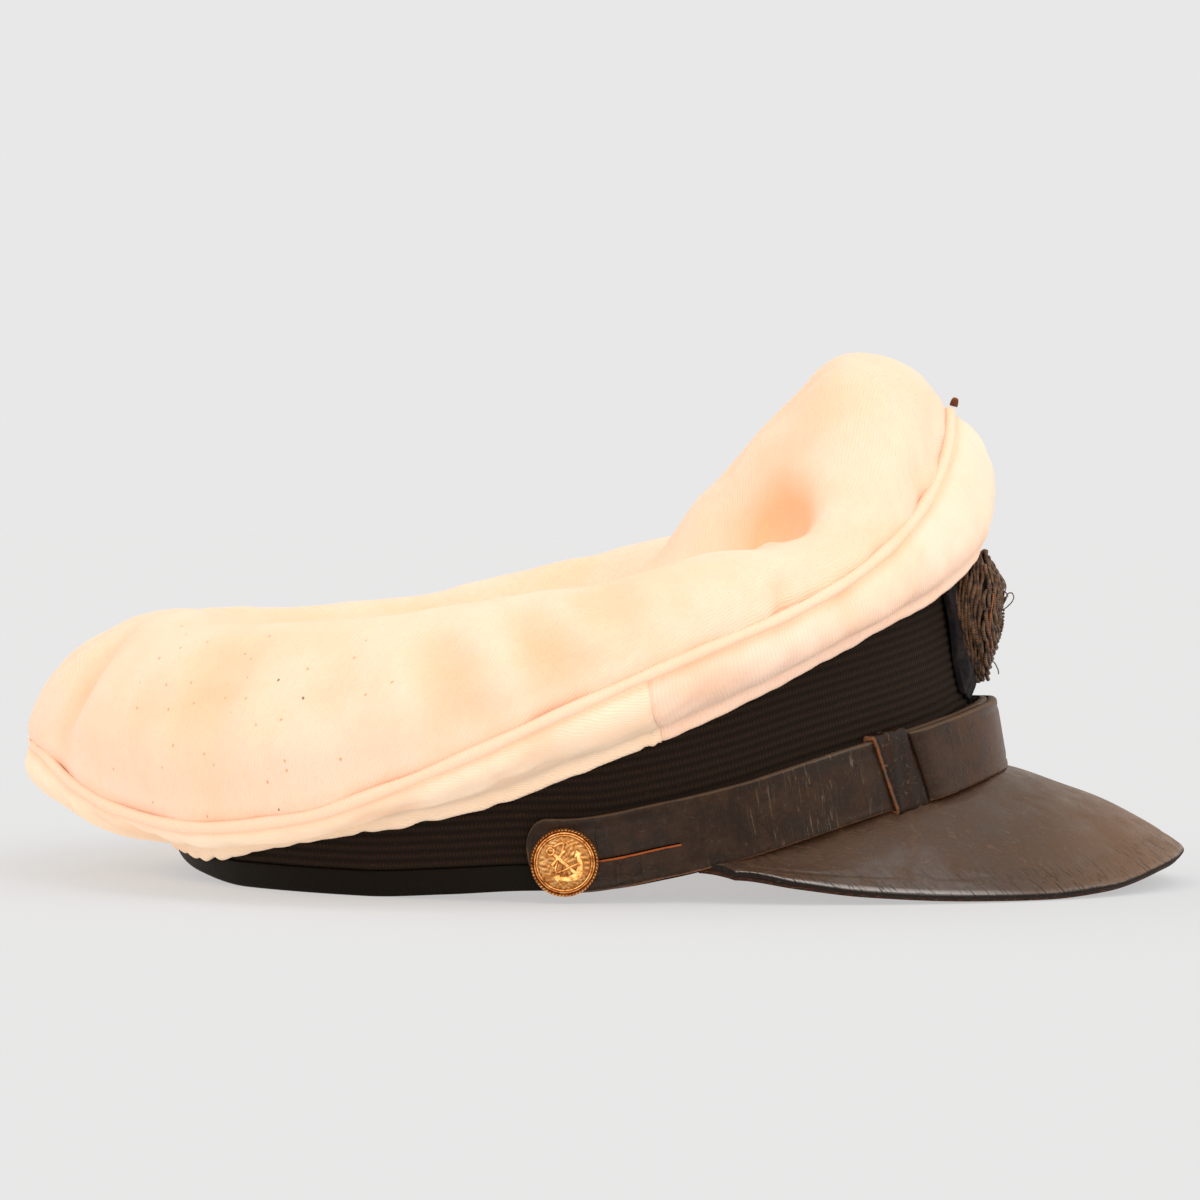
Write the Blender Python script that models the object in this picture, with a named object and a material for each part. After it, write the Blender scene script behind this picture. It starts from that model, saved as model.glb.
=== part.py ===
# A peaked cap: white cloth cover with a tall front, ribbed band, chin strap with brass
# buttons, leather peak and a worn front badge. It lies on its band and on its peak's edge.
# Metres, +Z up, +X towards the front of the cap, +Y towards the wearer's left.

from bisect import bisect_right
from collections import namedtuple
from math import acos, asin, cos, degrees, hypot, pi, radians, sin

import bmesh
import bpy
from mathutils import Matrix, Vector
from mathutils.geometry import interpolate_bezier

# Driving dimensions
HEAD_LENGTH = 0.205
HEAD_WIDTH = 0.166
BAND_WALL = 0.0035
BAND_HEIGHT = 0.066
BAND_LEAN = radians(10)
EDGE_HEIGHT = 0.0066
RIM_RISE = 0.0298
CLEARANCE = 0.0003

CROWN_HEIGHT = 0.1398
FRONT_OVERHANG = -0.0085
BACK_OVERHANG = 0.0383
SIDE_OVERHANG = 0.0335
COVER_WALL = 0.0018
WELT_RADIUS = 0.0016
WELT_PROUD = 0.0004
HEM_STAND = 0.0076
HEM_LIP = 0.004

PEAK_LENGTH = 0.0545
PEAK_SPREAD = 0.0005
PEAK_WALL = 0.0024
PEAK_EDGE_RISE = 0.009

STRAP_WIDTH = 0.0185
STRAP_WALL = 0.002
STRAP_STAND = 0.0036
SLIT_WIDTH = 0.0008
SLIT_DROP = 0.0015
KEEPER_WALL = 0.0012

BUTTON_RADIUS = 0.0085
BUTTON_HEIGHT = 0.003
SHANK_RADIUS = 0.0015
ANCHOR_RELIEF = 0.0005

BADGE_WIDTH = 0.046
BADGE_TUCK = 0.0036
BACKING_WALL = 0.004
WREATH_MARGIN = 0.004
WREATH_PAD = 0.0092
LEAF_RELIEF = 0.0018

STAY_WIDTH = 0.0026
STAY_WALL = 0.0012
STAY_LENGTH = 0.003

# Places worked out from the driving dimensions. The origin is under the middle of the whole cap.
BAND_A = HEAD_LENGTH / 2 + BAND_WALL
BAND_B = HEAD_WIDTH / 2 + BAND_WALL
BACK_REACH = BAND_A + BACK_OVERHANG + WELT_RADIUS + WELT_PROUD
FRONT_REACH = BAND_A + PEAK_LENGTH
BAND_X = (BACK_REACH - FRONT_REACH) / 2
SEAM_FRONT = BAND_X + BAND_A + FRONT_OVERHANG
SEAM_BACK = BAND_X - BAND_A - BACK_OVERHANG
SEAM_X = (SEAM_FRONT + SEAM_BACK) / 2
SEAM_A = (SEAM_FRONT - SEAM_BACK) / 2
SEAM_B = BAND_B + SIDE_OVERHANG
SEAM_SKIP = WELT_RADIUS + WELT_PROUD + CLEARANCE
BADGE_RISE = 1.05 * STRAP_WIDTH + CLEARANCE

# The crown, one row for each section, by its angle in degrees round from the front.
# Places are shares of the way from the middle out to the seam, heights shares of CROWN_HEIGHT.
CENTRE_HEIGHT = 0.405
Section = namedtuple(
    "Section", "angle basin_at basin slope_at slope crest_at crest side_at side seam"
)
FRONT_SECTION = Section(0, 0.34, 0.600, 0.55, 0.812, 0.80, 0.995, 0.91, 0.965, 0.885)
BACK_SECTION = Section(180, 0.34, 0.396, 0.54, 0.432, 0.65, 0.488, 0.990, 0.320, 0.247)
RIGHT_SECTIONS = (
    Section(10, 0.34, 0.588, 0.55, 0.790, 0.80, 0.978, 0.920, 0.935, 0.820),
    Section(20, 0.34, 0.552, 0.55, 0.690, 0.80, 0.885, 0.930, 0.840, 0.735),
    Section(30, 0.34, 0.506, 0.56, 0.585, 0.80, 0.755, 0.930, 0.735, 0.655),
    Section(40, 0.34, 0.468, 0.57, 0.515, 0.79, 0.660, 0.940, 0.650, 0.585),
    Section(50, 0.34, 0.440, 0.59, 0.470, 0.79, 0.622, 0.960, 0.595, 0.525),
    Section(65, 0.34, 0.414, 0.60, 0.448, 0.78, 0.590, 0.980, 0.535, 0.445),
    Section(80, 0.34, 0.399, 0.61, 0.425, 0.78, 0.550, 1.000, 0.465, 0.350),
    Section(90, 0.34, 0.392, 0.61, 0.412, 0.78, 0.525, 1.010, 0.415, 0.280),
    Section(100, 0.34, 0.385, 0.61, 0.404, 0.78, 0.505, 1.015, 0.355, 0.215),
    Section(112, 0.34, 0.385, 0.61, 0.400, 0.78, 0.487, 1.020, 0.305, 0.155),
    Section(126, 0.34, 0.386, 0.60, 0.402, 0.77, 0.486, 1.020, 0.280, 0.131),
    Section(138, 0.34, 0.388, 0.58, 0.412, 0.75, 0.494, 1.010, 0.295, 0.149),
    Section(150, 0.34, 0.391, 0.56, 0.422, 0.73, 0.502, 0.990, 0.305, 0.189),
    Section(163, 0.34, 0.394, 0.55, 0.430, 0.67, 0.493, 0.990, 0.304, 0.236),
)
LEFT_SECTIONS = (
    Section(10, 0.34, 0.588, 0.55, 0.785, 0.80, 0.975, 0.920, 0.930, 0.820),
    Section(20, 0.34, 0.552, 0.55, 0.685, 0.80, 0.880, 0.930, 0.835, 0.740),
    Section(30, 0.34, 0.508, 0.56, 0.595, 0.80, 0.765, 0.930, 0.745, 0.665),
    Section(40, 0.34, 0.472, 0.57, 0.530, 0.79, 0.690, 0.940, 0.670, 0.595),
    Section(50, 0.34, 0.444, 0.59, 0.488, 0.79, 0.660, 0.960, 0.615, 0.535),
    Section(65, 0.34, 0.416, 0.60, 0.465, 0.78, 0.620, 0.980, 0.555, 0.460),
    Section(80, 0.34, 0.400, 0.61, 0.442, 0.78, 0.575, 1.000, 0.485, 0.375),
    Section(100, 0.34, 0.386, 0.61, 0.415, 0.78, 0.523, 1.015, 0.385, 0.250),
    Section(112, 0.34, 0.385, 0.61, 0.408, 0.78, 0.502, 1.020, 0.335, 0.195),
    Section(126, 0.34, 0.386, 0.60, 0.405, 0.77, 0.486, 1.020, 0.305, 0.165),
    Section(138, 0.34, 0.388, 0.58, 0.411, 0.75, 0.486, 1.010, 0.305, 0.173),
    Section(150, 0.34, 0.391, 0.56, 0.420, 0.73, 0.487, 0.990, 0.315, 0.205),
    Section(163, 0.34, 0.394, 0.55, 0.426, 0.67, 0.486, 0.990, 0.308, 0.239),
)

# How far the side panels bulge out of the seam and hang below it, as shares of SIDE_OVERHANG.
Belly = namedtuple("Belly", "angle out down")
BELLIES = (
    Belly(0, 0.54, 0.50),
    Belly(30, 0.27, 0.48),
    Belly(60, 0.12, 0.42),
    Belly(90, 0.03, 0.30),
    Belly(130, 0.03, 0.24),
    Belly(150, 0.05, 0.40),
    Belly(165, 0.18, 0.54),
    Belly(180, 0.22, 0.60),
)
SIDE_SEAM_ANGLE = 70.5
HEM_LEAD = 5.4

# The band: height of its lower rim as a share of RIM_RISE, the cover's hem and the band's top
# above the rim as shares of BAND_HEIGHT, and how far the hem stands off as a share of HEM_STAND.
BandRow = namedtuple("BandRow", "angle rim hem top stand")
BAND_ROWS = (
    BandRow(0, 1.000, 0.880, 1.00, 1.00),
    BandRow(15, 0.955, 0.830, 0.98, 0.94),
    BandRow(26, 0.870, 0.752, 0.93, 0.50),
    BandRow(41, 0.725, 0.678, 0.85, 0.04),
    BandRow(55, 0.550, 0.605, 0.78, 0.00),
    BandRow(68, 0.335, 0.548, 0.72, 0.00),
    BandRow(77, 0.205, 0.505, 0.69, 0.00),
    BandRow(87, 0.105, 0.441, 0.66, 0.00),
    BandRow(97, 0.090, 0.336, 0.64, 0.00),
    BandRow(107, 0.045, 0.277, 0.62, 0.00),
    BandRow(120, 0.000, 0.227, 0.61, 0.00),
    BandRow(131, 0.000, 0.177, 0.60, 0.00),
    BandRow(142, 0.000, 0.122, 0.60, 0.00),
    BandRow(157, 0.075, 0.062, 0.60, 0.00),
    BandRow(180, 0.225, 0.048, 0.60, 0.00),
)

# The badge's felt runs from the strap up under the cover's hem, with the wreath inside its edge.
BADGE_HEIGHT = BAND_ROWS[0].hem * BAND_HEIGHT + BADGE_TUCK - BADGE_RISE
WREATH_WIDTH = BADGE_WIDTH - WREATH_MARGIN
WREATH_HEIGHT = BADGE_HEIGHT - 2 * WREATH_MARGIN

# The chin strap: its lower edge above the band's rim as a share of STRAP_WIDTH, and how far its
# inner and outer halves stand off the band as shares of STRAP_STAND.
StrapRow = namedtuple("StrapRow", "angle foot inner outer")
STRAP_ROWS = (
    StrapRow(-96, -0.01, 0.22, 0.22),
    StrapRow(-90, -0.02, 0.22, 0.22),
    StrapRow(-84, 0.06, 0.24, 0.24),
    StrapRow(-77, 0.12, 0.28, 0.28),
    StrapRow(-62, 0.05, 0.38, 0.38),
    StrapRow(-46, 0.06, 0.54, 1.18),
    StrapRow(-36, 0.06, 0.62, 1.26),
    StrapRow(0, 0.03, 1.00, 1.64),
    StrapRow(36, 0.06, 0.62, 1.26),
    StrapRow(46, 0.06, 0.54, 1.18),
    StrapRow(62, 0.05, 0.38, 0.70),
    StrapRow(77, 0.12, 0.28, 0.35),
    StrapRow(84, 0.06, 0.24, 0.24),
    StrapRow(90, -0.02, 0.22, 0.22),
    StrapRow(96, -0.01, 0.22, 0.22),
)
BUTTON_ANGLE = 90.8
SLIT_END = 75.5
KEEPER_FROM = 37.6
KEEPER_TO = 45.3

# The peak's lower edge, by the share of the way from its front round to its corner: its height
# as a share of PEAK_EDGE_RISE.
PeakRow = namedtuple("PeakRow", "angle rise")
PEAK_ROWS = (
    PeakRow(0.00, 0.55),
    PeakRow(0.22, 0.40),
    PeakRow(0.42, 0.06),
    PeakRow(0.55, 0.00),
    PeakRow(0.68, 0.00),
    PeakRow(0.83, 0.16),
    PeakRow(0.92, 0.32),
    PeakRow(1.00, 0.63),
)
PEAK_CORNER = 71.0
PEAK_TURN = 86.0
PEAK_DIP = 2.3

# The badge's pad, by the share of the way up its half height from the middle: its thickness as
# a share of WREATH_PAD.
PadRow = namedtuple("PadRow", "up pad")
PAD_ROWS = (
    PadRow(-1.00, 0.05),
    PadRow(-0.70, 0.22),
    PadRow(-0.30, 0.68),
    PadRow(0.00, 0.88),
    PadRow(0.45, 1.00),
    PadRow(1.00, 0.62),
)

# Folds and dents pressed into the crown: the section and the share of the way down from the
# middle to the seam where each lies, its turn from the downhill line in degrees, and its half
# length, half width and depth as shares of CROWN_HEIGHT. A negative depth is a ridge.
Fold = namedtuple("Fold", "angle share turn length width depth")
FOLDS = (
    Fold(-36, 0.75, -27, 0.22, 0.120, 0.042),
    Fold(-50, 0.80, 62, 0.18, 0.085, -0.016),
    Fold(-73, 0.84, 12, 0.16, 0.075, 0.012),
    Fold(-84, 0.84, 16, 0.20, 0.075, 0.018),
    Fold(-89, 0.84, 16, 0.18, 0.060, -0.010),
    Fold(-94, 0.82, 10, 0.16, 0.075, 0.012),
    Fold(-126, 0.76, 0, 0.18, 0.110, 0.012),
    Fold(-153, 0.84, -5, 0.18, 0.075, 0.016),
    Fold(-160, 0.86, -27, 0.20, 0.065, -0.012),
    Fold(48, 0.80, -55, 0.18, 0.100, 0.014),
    Fold(96, 0.82, -10, 0.18, 0.090, 0.012),
)


def even(start, stop, count):
    """The starts of this many even steps from one angle to another."""
    return [start + (stop - start) * i / count for i in range(count)]


def read(rows, at):
    """A table's row at any angle, on smooth curves that never overshoot its rows."""
    angles = [row[0] for row in rows]
    low = min(max(bisect_right(angles, at) - 1, 0), len(rows) - 2)
    near = [rows[min(max(low + step, 0), len(rows) - 1)] for step in (-1, 0, 1, 2)]
    span = near[2][0] - near[1][0]
    part = (at - near[1][0]) / span
    values = [at]
    for column in range(1, len(rows[0])):
        slopes = [
            slope(near[0], near[1], near[2], column),
            slope(near[1], near[2], near[3], column),
        ]
        before, after = near[1][column], near[2][column]
        values.append(
            before * (1 + 2 * part) * (1 - part) ** 2
            + slopes[0] * span * part * (1 - part) ** 2
            + after * part**2 * (3 - 2 * part)
            + slopes[1] * span * part**2 * (part - 1)
        )
    return type(rows[0])(*values)


def slope(before, here, after, column):
    """The slope of a smooth curve at a row: level at a top, at a dip and at the table's ends."""
    if before is here or after is here:
        return 0.0
    left = (here[column] - before[column]) / (here[0] - before[0])
    right = (after[column] - here[column]) / (after[0] - here[0])
    if left * right <= 0:
        return 0.0
    return 2 * left * right / (left + right)


def all_sections():
    """The sections right round the crown, from the back over the right side to the back."""
    right = [section._replace(angle=-section.angle) for section in RIGHT_SECTIONS]
    ring = [BACK_SECTION._replace(angle=-180), *reversed(right), FRONT_SECTION]
    ring += [*LEFT_SECTIONS, BACK_SECTION]
    before = LEFT_SECTIONS[-1]._replace(angle=LEFT_SECTIONS[-1].angle - 360)
    after = right[-1]._replace(angle=right[-1].angle + 360)
    return [before, *ring, after]


SECTIONS = all_sections()


def smooth_line(points, before, after, steps=8):
    """A smooth line through points, which sets off as if it came from before and ends for after."""
    ends = [before, *points, after]
    line = [points[0]]
    for i in range(len(points) - 1):
        a, b, c, d = ends[i : i + 4]
        reach = (c - b).length / 3
        out = (c - b).normalized() * (b - a).length ** 0.5
        out += (b - a).normalized() * (c - b).length ** 0.5
        back = (d - c).normalized() * (c - b).length ** 0.5
        back += (c - b).normalized() * (d - c).length ** 0.5
        handles = b + out.normalized() * reach, c - back.normalized() * reach
        line += interpolate_bezier(b, *handles, c, steps + 1)[1:]
    return line


def spaced(line, shares, skip=0.0):
    """Points at these shares of a line's length, counted once its first length skip is left out."""
    lengths = [0.0]
    for a, b in zip(line, line[1:]):
        lengths.append(lengths[-1] + (b - a).length)
    found = []
    for share in shares:
        length = skip + share * (lengths[-1] - skip)
        i = min(bisect_right(lengths, length) - 1, len(line) - 2)
        part = (length - lengths[i]) / (lengths[i + 1] - lengths[i])
        found.append(line[i].lerp(line[i + 1], part))
    return found


def band_point(angle, rise, out):
    """A point by the band's outer face: round from the front, up the leaning wall, and off it."""
    turn = radians(angle)
    rim = read(BAND_ROWS, abs(angle)).rim * RIM_RISE
    return Vector(
        (
            BAND_X + (BAND_A + out) * cos(turn) - rise * sin(BAND_LEAN),
            (BAND_B + out) * sin(turn),
            rim + rise * cos(BAND_LEAN),
        )
    )


def crown_point(angle, share, height):
    turn = radians(angle)
    return Vector(
        (
            SEAM_X + SEAM_A * share * cos(turn),
            SEAM_B * share * sin(turn),
            height * CROWN_HEIGHT,
        )
    )


def seam_point(angle):
    return crown_point(angle, 1, read(SECTIONS, angle).seam)


def belly_point(angle):
    """Where a side panel would swing out to below the seam, the handle of its curve."""
    belly = read(BELLIES, abs(angle))
    turn = radians(angle)
    out = Vector((cos(turn), sin(turn), 0)) * belly.out * SIDE_OVERHANG
    return seam_point(angle) + out - Vector((0, 0, belly.down * SIDE_OVERHANG))


def crown_line(angle):
    """The crown's outer face in one section, from its middle out and down to the seam."""
    row = read(SECTIONS, angle)
    points = [
        crown_point(angle, 0, CENTRE_HEIGHT),
        crown_point(angle, row.basin_at, row.basin),
        crown_point(angle, row.slope_at, row.slope),
        crown_point(angle, row.crest_at, row.crest),
        crown_point(angle, row.side_at, row.side),
        crown_point(angle, 1, row.seam),
    ]
    before = crown_point(angle, -row.basin_at, row.basin)
    return smooth_line(points, before, belly_point(angle))


def side_line(angle):
    """A side panel's outer face in one section, from the seam down to the hem on the band."""
    at = max(-180.0, min(180.0, angle + HEM_LEAD * sin(radians(angle))))
    row = read(BAND_ROWS, abs(at))
    out = CLEARANCE + COVER_WALL + row.stand * HEM_STAND
    seam = seam_point(angle)
    belly = belly_point(angle)
    lip = band_point(at, row.hem * BAND_HEIGHT + HEM_LIP, out + COVER_WALL / 2)
    hem = band_point(at, row.hem * BAND_HEIGHT, out)
    return [*interpolate_bezier(seam, seam.lerp(belly, 2 / 3), lip.lerp(belly, 2 / 3), lip, 13), hem]


def finish(name, material):
    """A new object in the scene, with its own material."""
    item = bpy.data.objects.new(name, bpy.data.meshes.new(name))
    bpy.context.scene.collection.objects.link(item)
    item.data.materials.append(material)
    return item


def surface(name, colour, roughness, metallic=0.0):
    material = bpy.data.materials.new(name)
    material.use_nodes = True
    shader = material.node_tree.nodes["Principled BSDF"]
    shader.inputs["Base Color"].default_value = (*colour, 1)
    shader.inputs["Roughness"].default_value = roughness
    shader.inputs["Metallic"].default_value = metallic
    material.diffuse_color = (*colour, 1)
    return material


def face_out(mesh, inside):
    """Turns an open sheet's faces to look away from a point that is behind all of them."""
    facing = sum((face.calc_center_median() - inside).dot(face.normal) for face in mesh.faces)
    if facing < 0:
        bmesh.ops.reverse_faces(mesh, faces=mesh.faces[:])


def sheet(name, material, rows, wall, inside, ring=False, middle=None, holes=()):
    """A wall of even thickness behind a grid of outer points, which a Solidify adds."""
    mesh = bmesh.new()
    grid = [[mesh.verts.new(point) for point in row] for row in rows]
    across = len(grid[0])
    for i in range(len(grid) if ring else len(grid) - 1):
        here, after = grid[i], grid[(i + 1) % len(grid)]
        for j in range(across - 1):
            if (i, j) not in holes:
                mesh.faces.new((here[j], after[j], after[j + 1], here[j + 1]))
        if middle is not None:
            if i == 0:
                hub = mesh.verts.new(middle)
            mesh.faces.new((hub, after[0], here[0]))
    loose = [vert for vert in mesh.verts if not vert.link_faces]
    bmesh.ops.delete(mesh, geom=loose, context="VERTS")
    mesh.normal_update()
    face_out(mesh, inside)
    item = finish(name, material)
    mesh.to_mesh(item.data)
    mesh.free()
    item.data.shade_smooth()
    solidify = item.modifiers.new("Wall", "SOLIDIFY")
    solidify.thickness = wall
    solidify.offset = -1
    solidify.use_even_offset = True
    return item


def swept(name, material, sections, ring=True):
    """A closed body through sections of the same number of points, capped where it ends."""
    mesh = bmesh.new()
    loops = [[mesh.verts.new(point) for point in section] for section in sections]
    count = len(loops[0])
    for i in range(len(loops) if ring else len(loops) - 1):
        here, after = loops[i], loops[(i + 1) % len(loops)]
        for j in range(count):
            k = (j + 1) % count
            mesh.faces.new((here[j], here[k], after[k], after[j]))
    if not ring:
        mesh.faces.new(loops[0])
        mesh.faces.new(loops[-1])
    bmesh.ops.recalc_face_normals(mesh, faces=mesh.faces[:])
    item = finish(name, material)
    mesh.to_mesh(item.data)
    mesh.free()
    item.data.shade_smooth()
    item.data.set_sharp_from_angle(angle=radians(40))
    return item


def fold_depth(angle, share, length):
    """How deep the folds press in at a place on the crown, in metres."""
    depth = 0.0
    for fold in FOLDS:
        turn = radians(fold.turn)
        gap = (angle - fold.angle + 180) % 360 - 180
        around = radians(gap) * (SEAM_A + SEAM_B) / 2 * share
        down = (share - fold.share) * length
        lengthwise = (down * cos(turn) + around * sin(turn)) / (fold.length * CROWN_HEIGHT)
        crosswise = (around * cos(turn) - down * sin(turn)) / (fold.width * CROWN_HEIGHT)
        if abs(lengthwise) < 1 and abs(crosswise) < 1:
            fade = (1 - lengthwise**2) ** 2 * (1 - crosswise**2) ** 2
            depth += fold.depth * CROWN_HEIGHT * fade
    return depth


def crown_grid(angles, shares):
    """Outer points of the crown's top panel, folds included, one row for each angle."""
    rows = []
    for angle in angles:
        line = crown_line(angle)
        length = sum((b - a).length for a, b in zip(line, line[1:]))
        cut = 1 - SEAM_SKIP / length
        points = spaced(line, [share * cut for share in shares])
        ahead = spaced(line, [min(share * cut + 0.01, 1) for share in shares])
        turn = Vector((-sin(radians(angle)) * SEAM_A, cos(radians(angle)) * SEAM_B, 0))
        for i, (share, point, on) in enumerate(zip(shares, points, ahead)):
            normal = (on - point).cross(turn).normalized()
            if normal.z < 0 and share < 0.9:
                normal.negate()
            points[i] = point - normal * fold_depth(angle, share, length)
        rows.append(points)
    return rows


def make_crown_top(material):
    shares = (0.14, 0.27, 0.38, 0.48, 0.57, 0.65, 0.72, 0.79, 0.86, 0.93, 1.0)
    rows = crown_grid(even(-180, 180, 80), shares)
    middle = crown_point(0, 0, CENTRE_HEIGHT)
    below = Vector((SEAM_X, 0, 0))
    return sheet("crown_top", material, rows, COVER_WALL, below, ring=True, middle=middle)


def side_grid(angles, shares):
    return [spaced(side_line(angle), shares, SEAM_SKIP) for angle in angles]


def make_quarters(material):
    gap = degrees(CLEARANCE / 2 / SEAM_B)
    shares = (0, 0.22, 0.46, 0.70, 0.90, 1.0)
    inside = Vector((SEAM_X, 0, CROWN_HEIGHT / 2))
    reach = SIDE_SEAM_ANGLE - gap
    front = [-reach + 2 * reach * i / 32 for i in range(33)]
    sheet("quarter_front", material, side_grid(front, shares), COVER_WALL, inside)
    reach = 180 - SIDE_SEAM_ANGLE - gap
    back = [180 - reach + 2 * reach * i / 46 for i in range(47)]
    back = [(angle + 180) % 360 - 180 for angle in back]
    sheet("quarter_rear", material, side_grid(back, shares), COVER_WALL, inside)


def ring_about(centre, along, radius, sides):
    """Points of a circle round a line that runs along a direction."""
    side = along.cross(Vector((0, 0, 1))).normalized()
    up = side.cross(along).normalized()
    spread = [2 * pi * i / sides for i in range(sides)]
    return [centre + radius * (side * cos(turn) + up * sin(turn)) for turn in spread]


def make_welt(material):
    sections = []
    for angle in even(-180, 180, 80):
        turn = radians(angle)
        out = Vector((cos(turn) * SEAM_B, sin(turn) * SEAM_A, 0)).normalized()
        centre = seam_point(angle) + out * WELT_PROUD
        along = (seam_point((angle + 181) % 360 - 180) - seam_point(angle)).normalized()
        sections.append(ring_about(centre, along, WELT_RADIUS, 6))
    swept("welt", material, sections)


def wall_section(angle, low, high):
    """The band's wall at one angle, level along its foot and top."""
    corners = ((low, 0), (high, 0), (high, -BAND_WALL), (low, -BAND_WALL))
    return [band_point(angle, rise, out) for rise, out in corners]


def make_band(cloth, edging):
    sections = []
    edges = []
    for angle in even(-180, 180, 64):
        top = read(BAND_ROWS, abs(angle)).top * BAND_HEIGHT
        sections.append(wall_section(angle, EDGE_HEIGHT + CLEARANCE, top))
        edges.append(wall_section(angle, 0, EDGE_HEIGHT))
    swept("band", cloth, sections)
    swept("band_edge", edging, edges)


def peak_line(share, steps):
    """The peak's underside from under the band out to its edge, at a share of its half turn."""
    drop = CLEARANCE + 1.1 * PEAK_WALL
    start = band_point(share * PEAK_CORNER, 0, -BAND_WALL / 2) - Vector((0, 0, drop))
    corner = band_point(PEAK_CORNER, 0, PEAK_SPREAD)
    turn = radians(share * PEAK_TURN)
    width = corner.y / sin(radians(PEAK_TURN)) + BAND_WALL
    tip = BAND_X + FRONT_REACH - PEAK_WALL / 2
    rise = read(PEAK_ROWS, abs(share)).rise * PEAK_EDGE_RISE
    end = Vector((corner.x + (tip - corner.x) * cos(turn), width * sin(turn), rise))
    line = []
    for step in steps:
        point = start.lerp(end, step)
        point.z = start.z + (end.z - start.z) * step**PEAK_DIP
        line.append(point)
    return line


def make_peak(material):
    steps = (0, 0.12, 0.28, 0.45, 0.62, 0.8, 0.93, 1)
    rows = [peak_line(-1 + 2 * i / 28, steps) for i in range(29)]
    above = Vector((BAND_X + BAND_A, 0, CROWN_HEIGHT))
    sheet("peak", material, rows, PEAK_WALL, above)


def strap_point(angle, across, out):
    """A point on the strap: across from its lower edge, in metres, and out from the band."""
    row = read(STRAP_ROWS, angle)
    return band_point(angle, row.foot * STRAP_WIDTH + across, out)


def strap_face(angle, half):
    """How far a strap half's outer face lies from the band."""
    row = read(STRAP_ROWS, angle)
    stand = row.outer if half == "outer" else row.inner
    return stand * STRAP_STAND + STRAP_WALL


def degrees_along(length, angle=BUTTON_ANGLE):
    """The turn round the band that a length on it makes, near an angle."""
    turn = radians(angle)
    return degrees(length / hypot(BAND_A * sin(turn), BAND_B * cos(turn)))


def strap_angles(side, stop):
    """Stations of a strap half from its round end, with those where the slit and hole begin."""
    radius = STRAP_WIDTH / 2
    hole = degrees_along(SHANK_RADIUS + CLEARANCE)
    rounds = (14, 34, 56, 78)
    end = BUTTON_ANGLE + hole + degrees_along(radius * (1 - cos(radians(rounds[-1]))))
    stations = []
    for turn in rounds:
        inset = degrees_along(radius * (1 - cos(radians(turn))))
        stations.append((end - inset, sin(radians(turn))))
    marks = even(BUTTON_ANGLE - hole, SLIT_END, 3) + even(SLIT_END, KEEPER_TO, 6)
    marks += even(KEEPER_TO, KEEPER_FROM, 2) + even(KEEPER_FROM, stop, 12)
    stations += [(mark, 1.0) for mark in marks]
    stations.append((stop, 1.0))
    return [(side * angle, width) for angle, width in stations]


def make_strap(name, side, half, stop, material):
    """A strap half: its round end under the button, with the slit that lets it over the button."""
    stations = strap_angles(side, stop)
    slit = STRAP_WIDTH / 2 - SLIT_DROP
    hole = SHANK_RADIUS + CLEARANCE
    levels = (0, slit - hole, slit - SLIT_WIDTH / 2, slit + SLIT_WIDTH / 2, slit + hole, STRAP_WIDTH)
    rows = []
    for angle, width in stations:
        face = strap_face(angle, half)
        middle = STRAP_WIDTH / 2
        heights = [middle + (level - middle) * width for level in levels]
        rows.append([strap_point(angle, height, face) for height in heights])
    holes = [(3, 1), (3, 2), (3, 3), (4, 2), (5, 2), (6, 2)]
    inside = Vector((BAND_X, 0, RIM_RISE))
    return sheet(name, material, rows, STRAP_WALL, inside, holes=holes)


def make_straps(material):
    make_strap("strap_inner", -1, "inner", -KEEPER_FROM + degrees_along(CLEARANCE), material)
    make_strap("strap_outer", 1, "outer", -KEEPER_FROM + degrees_along(CLEARANCE), material)


def make_keeper(name, side, half, material):
    """A leather loop round one strap half."""
    sections = []
    low = -CLEARANCE
    high = STRAP_WIDTH + CLEARANCE
    middle = STRAP_WIDTH / 2
    for across, deep in (
        (low, 0.5),
        (low, 1),
        (middle, 1),
        (high, 1),
        (high, 0.5),
        (high, 0),
        (middle, 0),
        (low, 0),
    ):
        section = []
        for wall in (0, KEEPER_WALL):
            line = []
            for angle in (KEEPER_FROM, (KEEPER_FROM + KEEPER_TO) / 2, KEEPER_TO):
                face = strap_face(side * angle, half)
                back = face - STRAP_WALL - CLEARANCE
                front = face + CLEARANCE
                out = back + (front - back) * deep + wall * (2 * deep - 1)
                sideways = wall * ((across > middle) - (across < middle))
                line.append(strap_point(side * angle, across + sideways, out))
            section += line if wall == 0 else reversed(line)
        sections.append(section)
    swept(name, material, sections)


def anchor_outline(size):
    """A plain anchor, upright, as one outline about its middle."""
    half = (
        (0.00, 0.96),
        (0.15, 0.90),
        (0.20, 0.76),
        (0.12, 0.63),
        (0.08, 0.54),
        (0.44, 0.54),
        (0.44, 0.40),
        (0.08, 0.40),
        (0.08, -0.58),
        (0.34, -0.46),
        (0.54, -0.22),
        (0.42, -0.16),
        (0.74, 0.02),
        (0.80, -0.34),
        (0.68, -0.30),
        (0.48, -0.62),
        (0.22, -0.84),
        (0.00, -0.92),
    )
    points = [Vector((x, y)) * size for x, y in half]
    return points + [Vector((-point.x, point.y)) for point in reversed(points[1:-1])]


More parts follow.
